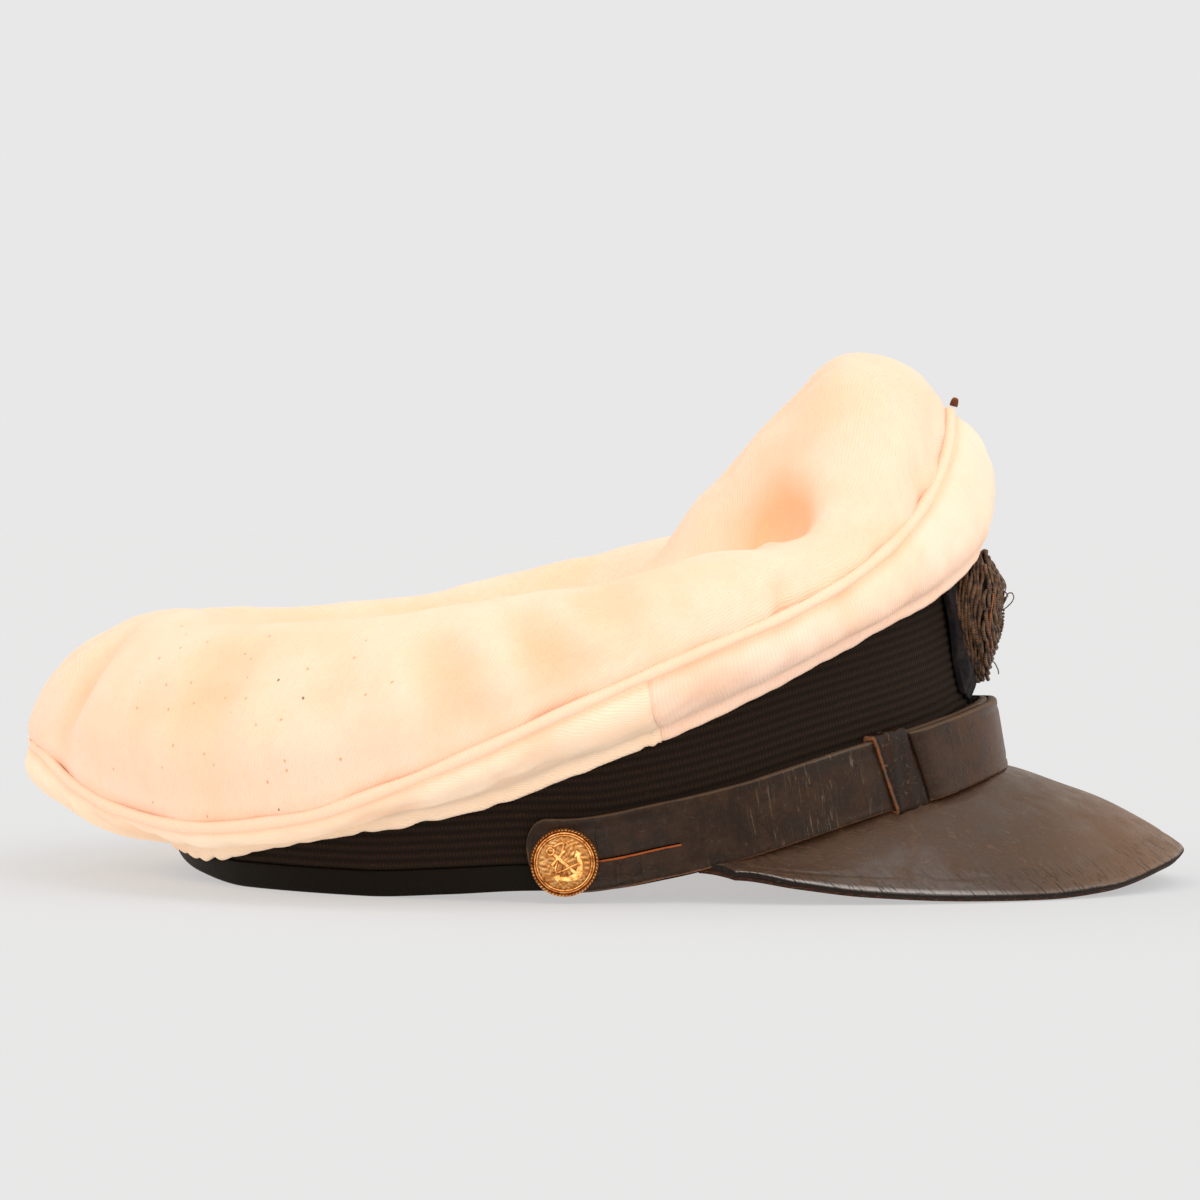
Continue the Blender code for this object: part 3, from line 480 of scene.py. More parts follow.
def buildFoxing(coords, flat, amount, stains):  # rust specks, a few dark ones and soft stains from storage
    feeds = {"Vector": astray(flat, 0.9, 2.0, 1.1), "Scale": 0.125, "Randomness": 1.0}
    cells = put(flat.tree, "TexVoronoi", feeds, voronoi_dimensions="2D")
    chance, second, _ = split(Wire(cells, "Color"), "SeparateColor")
    size = calc("MINIMUM", (amount - chance) * 0.24, 0.058)
    inside = between(size - Wire(cells, "Distance"), 0.0, 0.022)
    dark = calc("GREATER_THAN", second, 0.95)
    broad = between(noiseOf(coords, 0.022, 3.0, 0.6, 0.6), 0.48, 0.72)
    return {"Specks": inside * (1 - dark), "Dark": inside * dark, "Stains": broad * stains}


def buildLeather(coords, grain, crack, cracked, scratch):  # pebbled grain, scratches, drawn-out cracks, patches
    pebble = join("TexVoronoi", {"Vector": coords, "Scale": grain}, "Distance", feature="SMOOTH_F1")
    drawn = vector("MULTIPLY", astray(coords, 0.16, 3.0, 4.0), crack)
    edge = join("TexVoronoi", {"Vector": drawn, "Scale": 1.0}, "Distance", feature="DISTANCE_TO_EDGE")
    patch = between(noiseOf(coords, 0.06, 2.0), 0.45, 0.6)
    cracks = (1 - between(edge, 0.0, 0.022)) * (patch * cracked)
    drifting = astray(coords, 0.10, 2.0, 1.6)
    ridge = calc("ABSOLUTE", noiseOf(vector("MULTIPLY", drifting, scratch), 1.0, 1.0, 0.5) - 0.5)
    broken = noiseOf(vector("MULTIPLY", drifting, (0.5, 0.12, 0.3)), 1.0, 3.0)
    scratches = (1 - between(ridge, 0.0, 0.02)) * between(broken, 0.47, 0.6)
    height = noiseOf(coords, 2.6, 3.0) * 0.35 + pebble * 0.6 - scratches * 0.5 - cracks * 1.4
    mottle = noiseOf(coords, 0.14, 4.0, 0.65)
    return {"Height": height, "Cracks": cracks, "Scratches": scratches, "Mottle": mottle}


def buildWear(coords, distance, reach):  # rubbed edges: full at the edge, broken up, gone past its reach
    rough = noiseOf(coords, 0.5, 4.0, 0.7) * 1.6 + 0.2
    return {"Worn": between(calc("DIVIDE", distance, reach * rough), 0.5, 1.0, 1.0, 0.0)}


def buildDust(coords, amount):  # lint and dust caught in the surface
    hair = join("Mapping", {"Vector": coords, "Rotation": (0.3, 0.5, 0.9), "Scale": (0.25, 2.2, 1.1)})
    hairs = between(noiseOf(hair, 1.0, 1.0, 0.4, 1.2), 0.70, 0.76)
    haze = between(noiseOf(coords, 0.9, 5.0, 0.75), 0.5, 0.95)
    return {"Dust": calc("MAXIMUM", hairs * 0.7, haze) * amount}


weave = makeGroup("clothWeave", buildWeave, Coords=None, Pitch=1.0, Turn=0.0, Slack=0.3)
foxing = makeGroup("storageFoxing", buildFoxing, Coords=None, Flat=None, Amount=0.1, Stains=0.5)
leatherSkin = makeGroup(
    "leatherSkin", buildLeather, Coords=None, Grain=1.2, Crack=(0.12, 0.03, 0.1), Cracked=0.5, Scratch=(0.9, 0.07, 0.1)
)
edgeWear = makeGroup("edgeWear", buildWear, Coords=None, Distance=1.0, Reach=1.0)
dust = makeGroup("dustAndLint", buildDust, Coords=None, Amount=0.3)


def newMaterial(name, roughness, **sockets):
    material = bpy.data.materials.new(name)
    material.use_nodes = True
    shader = material.node_tree.nodes["Principled BSDF"]
    feed(shader, {"Roughness": roughness} | {key.replace("_", " "): value for key, value in sockets.items()})
    return material, material.node_tree, shader


def uvOf(tree):
    return Wire(put(tree, "UVMap", uv_map="cloth"))


def placeOf(tree):  # the row frame in millimetres
    return vector("SCALE", Wire(put(tree, "TexCoord"), "Object"), Scale=1000.0)


def markOf(tree, name):
    return Wire(put(tree, "Attribute", attribute_name=name), "Fac")


def addBump(shader, height, distance, strength=1.0):
    feed(shader, {"Normal": join("Bump", {"Strength": strength, "Distance": distance, "Height": height})})


lintGrey = srgb(150, 138, 122)
print("helpers ready")

# The cover

coverLook = {
    "colour": (0.963, 0.682, 0.53, 1),
    "second": (0.955, 0.645, 0.462, 1),
    "stain": (0.96, 0.59, 0.38, 1),
    "shade": (0.94, 0.49, 0.27, 1),
    "rust": (0.68, 0.27, 0.09, 1),
    "soot": (0.10, 0.07, 0.05, 1),
    "ditchShade": (0.42, 0.17, 0.10, 1),
    "pitch": 0.85,
    "turn": 42,
    "slack": 2.5,
    "specks": 0.05,
    "stains": 0.5,
    "shadeStrength": 0.78,
    "lines": 0.19,
    "relief": 0.8,
}


def coverMaterial(name, **changes):
    look = coverLook | changes
    material, tree, shader = newMaterial(name, 0.92, Sheen_Weight=0.12, Sheen_Roughness=0.5, Specular_IOR_Level=0.2)
    place, flat = placeOf(tree), uvOf(tree)
    threads = useGroup(weave, Coords=flat, Pitch=look["pitch"], Turn=radians(look["turn"]), Slack=look["slack"])
    amount = markOf(tree, "foxed") * 0.8 + look["specks"]
    marks = useGroup(foxing, Coords=place, Flat=flat, Amount=amount, Stains=look["stains"])
    colour = paintOver(
        look["colour"],
        (between(noiseOf(place, 0.035, 4.0, 0.6), 0.35, 0.7), look["second"]),
        (marks["Stains"] * 0.8, look["stain"]),
        # painted shade: the warm shade colour laid into folds, the dent and just below the seam
        (markOf(tree, "paintedShade") * look["shadeStrength"], look["shade"]),
        ((1 - threads["Line"]) * look["lines"], look["shade"]),
        # painted shade line in the ditch beside the piping
        (markOf(tree, "ditchShade") * 0.8, look["ditchShade"]),
        (marks["Specks"] * 0.7, look["rust"]),
        (marks["Dark"] * 0.8, look["soot"]),
    )
    feed(shader, {"Base Color": colour})
    addBump(shader, noiseOf(place, 1.8, 4.0, 0.7) * 0.5 + threads["Height"], 0.00018, look["relief"])
    return material


crownTop = {
    "flat": (0.304, 0.302),  # oval panel, along and across its curves
    "area": 0.067,
    "around": 384,
    "down": 76,
    "rimRows": 14,
    "rimShare": 0.03,
    "seamSkip": 0.0001,
    # angle, share, turn from downhill, half length, half width, depth, sharpness
    "folds": (
        (-33, 0.69, -20, 0.17, 0.078, 0.050, 2), (-38, 0.79, -34, 0.10, 0.055, 0.022, 2),
        (-46, 0.76, -50, 0.13, 0.080, 0.006, 2), (-56, 0.80, 62, 0.16, 0.080, -0.010, 2),
        (-27, 0.58, -20, 0.13, 0.070, 0.014, 2), (0, 0.69, 0, 0.11, 0.300, 0.011, 2),
        (0, 0.42, 0, 0.10, 0.300, -0.012, 2), (-73, 0.84, 12, 0.16, 0.075, 0.016, 2),
        (-84, 0.84, 16, 0.20, 0.075, 0.024, 2), (-89, 0.84, 16, 0.18, 0.060, -0.013, 2),
        (-94, 0.82, 10, 0.16, 0.075, 0.016, 2), (-126, 0.76, 0, 0.18, 0.110, 0.016, 2),
        (-153, 0.84, -5, 0.18, 0.075, 0.022, 2), (-160, 0.86, -27, 0.20, 0.065, -0.016, 2),
        (48, 0.80, -55, 0.18, 0.100, 0.019, 2), (96, 0.82, -10, 0.18, 0.090, 0.016, 2),
        (-78, 0.80, 10, 0.14, 0.045, 0.008, 1.4), (-66, 0.88, 0, 0.10, 0.050, 0.008, 1.6),
        (-52, 0.97, 0, 0.07, 0.040, 0.013, 1.6), (-22, 0.97, 0, 0.07, 0.040, 0.013, 1.6),
        (-100, 0.86, 5, 0.14, 0.050, -0.008, 1.6), (-108, 0.80, 0, 0.16, 0.070, 0.011, 2),
        (-118, 0.84, -5, 0.14, 0.060, -0.008, 1.6), (-135, 0.82, 0, 0.14, 0.060, 0.011, 1.8),
        (-144, 0.84, 0, 0.12, 0.050, -0.008, 1.6), (-157, 0.82, -22, 0.16, 0.030, 0.012, 1.4),
        (180, 0.92, 0, 0.20, 0.500, -0.012, 2), (30, 0.80, 20, 0.16, 0.080, 0.016, 2),
        (64, 0.84, -12, 0.16, 0.070, 0.019, 2), (80, 0.86, 8, 0.14, 0.060, -0.011, 1.8),
        (112, 0.80, 0, 0.16, 0.080, 0.013, 2), (130, 0.84, -8, 0.14, 0.060, -0.011, 1.8),
        (148, 0.84, 6, 0.16, 0.060, 0.013, 1.8), (166, 0.84, 20, 0.16, 0.060, 0.013, 1.8),
    ),
    "wobble": ((0.045, 3, 0.00055), (0.017, 5, 0.00022), (0.008, 8, 0.00008)),  # size, seed, height
    "pucker": (0.011, 21, 0.00045),
    "puckerReach": 0.006,
    "calmRim": 0.012,
    "stitchDip": (0.0045, 0.0022, 0.0004),  # from the seam, width, depth
    "seamDip": (0, 0.002, -0.0006),
    "tint": (-27, 15, 0.62, 0.25, 0.5),  # painted warm shade patch in the dent at the tent's foot: angle, reach, share, reach, strength
    "foxed": (-122, 46, 0.80, 0.34),  # where the specks gather: angle, reach, share, reach
}  # fmt: skip


def foldDepth(angle, share, length, folds):
    depth = np.zeros(np.broadcast(angle, share, length).shape)
    for at, down, turn, half, wide, deep, sharp in folds:
        around = np.radians((angle - at + 180) % 360 - 180) * (seamA + seamB) / 2 * share
        below = (share - down) * length
        c, s = cos(radians(turn)), sin(radians(turn))
        lengthwise = np.abs(below * c + around * s) / (half * cap["crownHeight"])
        crosswise = np.abs(around * c - below * s) / (wide * cap["crownHeight"])
        fade = (1 - np.minimum(lengthwise, 1) ** 2) ** 2 * (1 - np.minimum(crosswise, 1) ** sharp) ** 2
        depth += np.where((lengthwise < 1) & (crosswise < 1), deep * cap["crownHeight"] * fade, 0)
    return depth


def makeCrownTop():
    angle = np.linspace(-180, 180, crownTop["around"], endpoint=False)
    rim = crownTop["rimShare"]
    share = (np.arange(1, crownTop["down"] + 1) / crownTop["down"]) ** 0.75 * (1 - rim)
    share = np.append(share, 1 - rim * (1 - np.arange(1, crownTop["rimRows"] + 1) / crownTop["rimRows"]))
    points, length = resample(crownLines(angle), share, 0, crownTop["seamSkip"])
    normals = gridNormals(points, True, (seamX, 0, -0.2))
    around, down, length = angle[:, None], share[None], length[:, None]
    depth = foldDepth(around, down, length, crownTop["folds"])
    toSeam = (1 - down) * length
    for wobble in crownTop["wobble"]:
        depth = depth + softNoise(points, *wobble) * (0.25 + 0.75 * ramp(toSeam, 0, crownTop["calmRim"]))
    pucker = softNoise(seamPoint(angle)[:, None], *crownTop["pucker"])
    depth = depth + pucker * np.exp(-toSeam / crownTop["puckerReach"])
    for at, wide, deep in (crownTop["stitchDip"], crownTop["seamDip"]):
        depth = depth - deep * bell(toSeam - at, wide)
    front = points - normals * depth[..., None]
    # painted shade: a warm patch in the dent, then the folds' hollows, deeper ones darker
    at, reach, level, spread, strength = crownTop["tint"]
    tint = strength * mound(around - at, reach) * mound(down - level, spread)
    paintedShade = 0.95 * ramp(depth, 0, 0.004) + 0.5 * ramp(depth, 0.003, 0.008) + tint
    # painted shade: a thin dark line in the ditch where the crown meets the piping, stronger at the sides and back
    ditchShade = bell(toSeam - 0.0008, 0.00038) * (0.25 + 0.75 * ramp(np.abs(around), 60, 100))
    at, reach, level, spread = crownTop["foxed"]
    marks = {"paintedShade": paintedShade, "ditchShade": ditchShade, "foxed": mound(around - at, reach) * mound(down - level, spread)}
    wrap = np.radians(np.append(angle, 180))[:, None]
    gone = down * np.concatenate([length, length[:1]]) * 1000
    uv = np.stack([gone * np.cos(wrap), gone * np.sin(wrap)], -1)
    middle = crownPoint(0, 0, centreHeight)
    hub, back = (middle, middle - (0, 0, cap["coverWall"])), front - normals * cap["coverWall"]
    cloth = coverMaterial("coverTop")
    piece = makeSheet("coverCrown", front, uv, cloth, back, closed=True, hub=hub, marks=marks)
    dress(piece, "cover_top", "crown_top")


makeCrownTop()

quarter = {
    "rows": 30,
    "hemRows": 8,
    "hemShare": 0.86,
    "seamGap": 0.02,
    "gather": (0.013, 31, 0.0004),  # size, seed and height of the bumps, seam first
    "ripple": (0.030, 32, 0.0004),
    "grit": (0.007, 37, 0.00014),
    "backRipple": (0.011, 34, 0.0009),
    "hemWave": (0.016, 35, 0.00012),
    "hemGrit": (0.006, 36, 0.00008),
    "seamRidge": 0.00022,
    "stitchDip": (0.0035, 0.0015, 0.0003),  # from the seam, width, depth
    "hemTuck": (0.0006, 0.0006),
    "frontBelly": (52, 0.0019),
    "backBelly": (34, 0.0019),
    "scallop": (0.0125, 0.0008),
    "backFrom": 118,
    "notches": (  # angle, depth, width
        (-72.6, 0.0007, 0.5), (-71.0, 0.0004, 0.3), (-93, 0.0006, 1.2),
        (-104, 0.0007, 1.6), (-113, 0.0006, 1.0), (-47, 0.0004, 1.2),
    ),
}  # fmt: skip


def makeQuarter(name, node, first, last, count, material, flat, area):
    ends = np.array([0.05, 0.12, 0.22, 0.36, 0.6, 1.0])
    first, last, hem = first + quarter["seamGap"], last - quarter["seamGap"], quarter["hemShare"]
    angle = np.unique(np.concatenate([np.linspace(first, last, count), first + ends, last - ends]))
    angle = (angle + 180) % 360 - 180
    share = np.append(np.linspace(0, hem, quarter["rows"]), np.linspace(hem, 1, quarter["hemRows"] + 1)[1:])
    points, length = resample(sideLines(angle), share, 0.0001)
    for _ in range(14):
        points[:, 1:-1] = (points[:, :-2] + 2 * points[:, 1:-1] + points[:, 2:]) / 4
    normals = gridNormals(points, False, (seamX, 0, 0.06))
    arc = lengthGone(seamPoint(angle))
    line = xyz(arc, 0, 0)[:, None]
    down, length = share[None], length[:, None]
    reach, toHem = down * length, (1 - down) * length
    toSide = np.minimum(arc, arc[-1] - arc)[:, None]
    window = np.sin(pi * np.minimum(down * 1.15, 1)) ** 0.8
    atBack = ramp(np.abs(angle), quarter["backFrom"], quarter["backFrom"] + 30)

    out = softNoise(line, *quarter["gather"]) * np.exp(-down * 2.2) * np.minimum(down * 8, 1)
    out = out + softNoise(line + points * 0.35, *quarter["ripple"]) * window
    out = out + quarter["seamRidge"] * (bell(toSide - 0.0022, 0.0013) - 1.2 * bell(toSide, 0.0006))
    wide, deep = quarter["hemTuck"]
    at, spread, dip = quarter["stitchDip"]
    out = out - deep * bell(toHem, wide) - dip * bell(reach - at, spread)
    belly = ramp(down, 0, 0.22) ** 0.7 * ramp(1 - down, 0, 0.78) ** 1.2
    high = bell(down - 0.13, 0.12) * ramp(down * 30, 0, 1)
    wide, height = quarter["frontBelly"]
    out = out + height * mound(angle, wide)[:, None] * belly
    wide, height = quarter["backBelly"]
    out = out + height * mound(180 - np.abs(angle), wide)[:, None] * high
    out = out + softNoise(points, *quarter["grit"]) * window
    ripple = softNoise(line + points * 0.2, *quarter["backRipple"]) * atBack[:, None] * window
    front = points + normals * (out + ripple)[..., None]

    size, height = quarter["scallop"]
    line = line[:, 0]
    drop = np.abs(np.sin(pi * arc / size + softNoise(line, 0.05, 33, 0.9))) * height * atBack
    drop = drop + (1 + atBack) * softNoise(line, *quarter["hemWave"]) + softNoise(line, *quarter["hemGrit"])
    drop = drop - sum(deep * bell(angle - at, wide) for at, deep, wide in quarter["notches"])
    front[..., 2] -= drop[:, None] * ramp(down, 0.45, 1) ** 2
    uv = np.stack([arc[:, None] + 0 * reach, reach], -1) * 1000
    # painted shade in the panel's dips and just below the seam
    paintedShade = 0.5 * ramp(-out, 0, 0.0012) * (toHem > 0.002) + 0.7 * bell(reach - 0.0018, 0.0012)
    marks = {"paintedShade": paintedShade, "ditchShade": 0 * out, "foxed": 0 * out + 0.1}
    piece = makeSheet(name, front, uv, material, front - normals * cap["coverWall"], marks=marks)
    dress(piece, "cover_side", node)


# painted light: the side panels' colours are lighter than the crown's, the rear panel most, to offset the shade on
# their down-facing cloth
frontShadeLifted = {"colour": (0.975, 0.715, 0.575, 1), "second": (0.97, 0.685, 0.53, 1)}
rearShadeLifted = {"colour": (1.0, 0.80, 0.61, 1), "second": (1.0, 0.77, 0.56, 1)}
cloth = coverMaterial("coverSideFront", specks=0.03, turn=0, pitch=1.1, **frontShadeLifted)
ends = -sideSeamAngle, sideSeamAngle
makeQuarter("coverSideFrontPanel", "quarter_front", *ends, 250, cloth, (0.324, 0.041), 0.0103)
cloth = coverMaterial("coverSideRear", specks=0.03, turn=62, pitch=0.9, **rearShadeLifted)
ends = sideSeamAngle, 360 - sideSeamAngle
makeQuarter("coverSideRearPanel", "quarter_rear", *ends, 380, cloth, (0.477, 0.052), 0.0188)

welt = {
    "colour": (0.97, 0.675, 0.50, 1),
    "shade": (0.95, 0.52, 0.31, 1),
    "pitch": 0.8,
    "turn": 48,
    "radius": 0.0015,
    "proud": -0.0003,
    "around": 640,
    "sides": 12,
}


def weltMaterial():
    material, tree, shader = newMaterial("coverPiping", 0.88, Sheen_Weight=0.1, Specular_IOR_Level=0.2)
    place, flat = placeOf(tree), uvOf(tree)
    threads = useGroup(weave, Coords=flat, Pitch=welt["pitch"], Turn=radians(welt["turn"]), Slack=0.6)
    marks = useGroup(foxing, Coords=place, Flat=flat, Amount=0.04, Stains=0.6)
    shade = welt["shade"]
    colour = paintOver(welt["colour"], ((1 - threads["Line"]) * 0.25, shade), (marks["Stains"] * 0.5, shade))
    feed(shader, {"Base Color": colour})
    addBump(shader, threads["Height"], 0.00025, 0.6)
    return material


def makeWelt():
    angle = np.linspace(-180, 180, welt["around"], endpoint=False)
    seam, turn = seamPoint(angle), np.radians(angle)
    out = unit(xyz(np.cos(turn) * seamB, np.sin(turn) * seamA, 0))
    along = unit(np.roll(seam, -1, 0) - np.roll(seam, 1, 0))
    side = unit(np.cross(along, (0, 0, 1)))
    up = np.cross(side, along)
    radius = welt["radius"] * (1 + 0.05 * softNoise(seam, 0.012, 41)[:, None])
    spread = (np.arange(welt["sides"]) * 2 * pi / welt["sides"])[None, :, None]
    ring = np.cos(spread) * side[:, None] + np.sin(spread) * up[:, None]
    front = (seam + out * welt["proud"])[:, None] + ring * radius[..., None]
    wide = np.arange(welt["sides"] + 1) * 2 * pi * cap["weltRadius"] * 1000 / welt["sides"]
    uv = pairs(lengthGone(np.concatenate([seam, seam[:1]])) * 1000, wide)
    dress(makeSheet("seamPiping", front, uv, weltMaterial(), closed=True, loop=True), "piping", "welt")


makeWelt()
print("cover made")

# The band

band = {
    "around": 320,
    "pitch": 0.0022,
    "depth": 0.0003,
    "perRib": 6,
    "colour": srgb(20, 13, 8),
    "paleBrown": srgb(66, 50, 37),
    "edge": srgb(13, 7, 2),
    "strip": (  # the lower edge's section in millimetres: up, out
        (0.0, -0.5), (0.0, -0.15), (0.12, 0.0), (0.45, 0.12), (0.9, 0.14), (1.4, 0.1), (3.3, 0.16), (5.3, 0.08),
        (6.1, 0.1), (6.45, 0.0), (6.55, -0.4), (6.55, -3.4), (6.3, -3.5), (0.2, -3.5), (0.0, -3.3),
    ),
}  # fmt: skip


def bandMaterial():
    material, tree, shader = newMaterial("ribbedBand", 0.9, Specular_IOR_Level=0.12)
    place = placeOf(tree)
    x, y, _ = split(uvOf(tree))
    rib = y * (2 * pi / (band["pitch"] * 1000))
    slant = calc("ABSOLUTE", calc("SINE", rib * 0.5))
    knit = calc("SINE", x * (2 * pi / 0.95) + slant * 3.2)
    top = calc("COSINE", rib) * -0.5 + 0.5
    lint = useGroup(dust, Coords=place, Amount=0.55)["Dust"]
    # lighter along the rib tops, and where lint lies
    paleBrown = top * (knit * 0.25 + 0.45) * 0.4 + (lint * 0.6 + 0.05)
    feed(shader, {"Base Color": paintOver(band["colour"], (paleBrown, band["paleBrown"]))})
    addBump(shader, knit * 0.35 + noiseOf(place, 2.2, 4.0, 0.7), 0.00025, 0.8)
    return material


def edgingMaterial():
    material, tree, shader = newMaterial("bandEdging", 0.7, Specular_IOR_Level=0.08)
    threads = useGroup(weave, Coords=uvOf(tree), Pitch=0.5, Turn=0.0, Slack=0.5)
    lint = useGroup(dust, Coords=placeOf(tree), Amount=0.4)["Dust"]
    colour = paintOver(band["edge"], (lint * 0.5, band["paleBrown"]))
    feed(shader, {"Base Color": colour, "Roughness": lint * 0.3 + 0.55})
    addBump(shader, threads["Height"], 0.0001, 0.5)
    return material


def makeBand():
    angle = np.linspace(-180, 180, band["around"], endpoint=False)
    girth = lengthGone(bandPoint(np.append(angle, 180), 0, 0)) * 1000
    low = cap["edgeHeight"] + 0.0001
    rise = np.arange(low, cap["bandHeight"], band["pitch"] / band["perRib"])
    around, top = angle[:, None], readTable(bandRows, np.abs(angle))[:, 2:3] * cap["bandHeight"]
    level = np.minimum(rise[None], top - (len(rise) - np.arange(len(rise)))[None] * 1e-6)
    rib = (0.5 + 0.5 * np.cos(2 * pi * (rise - low) / band["pitch"])) ** 1.4
    out = -band["depth"] * rib[None] + 0.00012 * softNoise(bandPoint(around, level, 0), 0.02, 51)
    inner = bandPoint(around, np.concatenate([top, 0 * top + low], 1), -cap["bandWall"])
    front = np.concatenate([bandPoint(around, level, out), inner], 1)
    uv = pairs(girth, np.append((rise - low) * 1000, [cap["bandHeight"] * 1000 + 3, 0, 0]))
    dress(makeSheet("ribbedBand", front, uv, bandMaterial(), closed=True, loop=True), "band_cloth", "band")
    up, out = np.array(band["strip"]).T / 1000
    front = bandPoint(around, up[None], out[None])
    uv = pairs(girth, np.append(up, 0) * 1000)
    dress(makeSheet("bandEdge", front, uv, edgingMaterial(), closed=True, loop=True), "band_edging", "band_edge")


makeBand()
print("band made")

# The peak

peak = {
    "wall": 0.0024,
    "underWall": 0.00105,
    "spread": 0.0005,
    "edgeRise": 0.009,
    # share from the middle to the corner, rise of the edge
    "rows": (
        (0.00, 0.80), (0.22, 0.58), (0.42, 0.12), (0.55, 0.00), (0.68, 0.03), (0.83, 0.19), (0.92, 0.42), (1.00, 0.66),
    ),
    "corner": 73.4,
    "turn": 86.0,
    "dip": 1.95,
    "around": 200,
    "inner": 40,
    # millimetres from the edge, closer where it rounds over
    "nearEdge": (8, 6.9, 6.3, 5.8, 5.3, 4.7, 4.0, 3.3, 2.7, 2.2, 1.8, 1.4, 1.1, 0.8, 0.5, 0.25, 0.0),
    "edgeShare": 0.16,
    "crease": (0.0058, 0.0008, 0.00012),  # from the edge, width, depth
    "cut": (0.1328, 0.060),  # where the short scratch lies: forward, to the right
    "colour": srgb(58, 38, 23),
    "second": srgb(74, 53, 37),
    "paintedTipLight": srgb(122, 88, 60),
    "crack": srgb(132, 104, 82),
    "dark": srgb(26, 17, 12),
    "raw": srgb(150, 78, 34),
    "rawDark": srgb(44, 25, 16),
    "scratch": srgb(190, 96, 40),
}  # fmt: skip


def peakLines(share, steps):
    corner, wall = np.abs(share) ** 8, cap["bandWall"] / 2
    start = bandPoint(share * peak["corner"], 0, -wall + (wall + 0.0004) * corner)
    start[..., 2] += 0.0028 * corner - cap["gap"] - 1.1 * peak["wall"]
    corner = bandPoint(peak["corner"], 0, peak["spread"])
    turn = np.radians(share * peak["turn"])
    width = corner[1] / sin(radians(peak["turn"])) + cap["bandWall"]
    tip = bandX + frontReach - 0.001
    rise = readTable(peak["rows"], np.abs(share))[:, 0] * peak["edgeRise"]
    end = xyz(corner[0] + (tip - corner[0]) * np.cos(turn), width * np.sin(turn), rise)
    way = (end - start)[:, None]
    points = start[:, None] + way * steps[None, :, None]
    points[..., 2] = start[:, None, 2] + way[..., 2] * steps[None] ** peak["dip"]
    return points, np.linalg.norm(end - start, axis=1)


def peakMaterial():
    gloss = {"Coat_Roughness": 0.12, "Coat_IOR": 2.0, "Specular_IOR_Level": 0.25}
    material, tree, shader = newMaterial("peakLeather", 0.35, **gloss)
    place, flat, toEdge = placeOf(tree), uvOf(tree), markOf(tree, "toEdge")
    crackShape = {"Grain": 1.5, "Crack": (0.05, 0.16, 0.1), "Cracked": 0.4, "Scratch": (0.06, 0.5, 0.3)}
    skin = useGroup(leatherSkin, Coords=place, **crackShape)
    crackShape = {"Grain": 1.5, "Crack": (0.5, 0.12, 0.1), "Cracked": 1.0, "Scratch": (1.1, 0.09, 0.1)}
    rimSkin = useGroup(leatherSkin, Coords=flat, **crackShape)
    worn = useGroup(edgeWear, Coords=place, Distance=toEdge, Reach=0.7)["Worn"]
    lint = useGroup(dust, Coords=place, Amount=0.5)["Dust"]
    scuffs = between(noiseOf(stretched(place, (0.05, 0.5, 0.4), 0.35), 1.0, 4.0, 0.75), 0.58, 0.72)
    forward = split(place)[0]
    drawn = between(noiseOf(stretched(flat, (1.5, 0.22, 1)), 1.0, 2.0, 0.5, 0.4), 0.57, 0.63)
    rimCracks = calc("MAXIMUM", rimSkin["Cracks"], drawn) * between(toEdge, 4.0, 13.0, 1.0, 0.0)
    colour = paintOver(
        peak["colour"],
        (between(skin["Mottle"], 0.3, 0.8), peak["second"]),
        # painted light: lighter towards the tip, where the front light falls
        (between(forward, 95, 155, 0.0, 0.55), peak["paintedTipLight"]),
        (calc("MAXIMUM", skin["Cracks"], skin["Scratches"]) * 0.2, peak["crack"]),
        (rimCracks * 0.7, peak["dark"]),
        (scuffs * 0.16, peak["crack"]),
        (worn, peak["dark"]),
        (lint * 0.35, lintGrey),
        (markOf(tree, "scratch"), peak["scratch"]),
    )
    gloss = between(toEdge, 0.9, 2.4, 1.0, 0.0) * (1 - rimCracks) * between(forward, 80, 110, 1.0, 0.3)
    coat = calc("MAXIMUM", gloss, skin["Mottle"] * -0.5 + 0.35) * between(toEdge, 0.1, 0.6)
    rough = skin["Mottle"] * 0.3 + 0.38 + calc("MAXIMUM", scuffs, worn) * 0.4
    feed(shader, {"Base Color": colour, "Roughness": rough, "Coat Weight": coat})
    addBump(shader, skin["Height"] - rimCracks * 1.2, 0.00018, 0.55)
    return material


def rawMaterial(name, colour, dark):  # cut edges and undersides, fibrous
    material, tree, shader = newMaterial(name, 0.85, Specular_IOR_Level=0.2)
    place = placeOf(tree)
    fibres = noiseOf(stretched(place, (0.5, 0.5, 3.0)), 1.2, 5.0, 0.7)
    shown = between(fibres, 0.5, 0.7) * between(split(place)[0], 20, 140, 0.4, 0.9)
    feed(shader, {"Base Color": paintOver(dark, (shown, colour))})
    addBump(shader, fibres, 0.0003, 0.7)
    return material


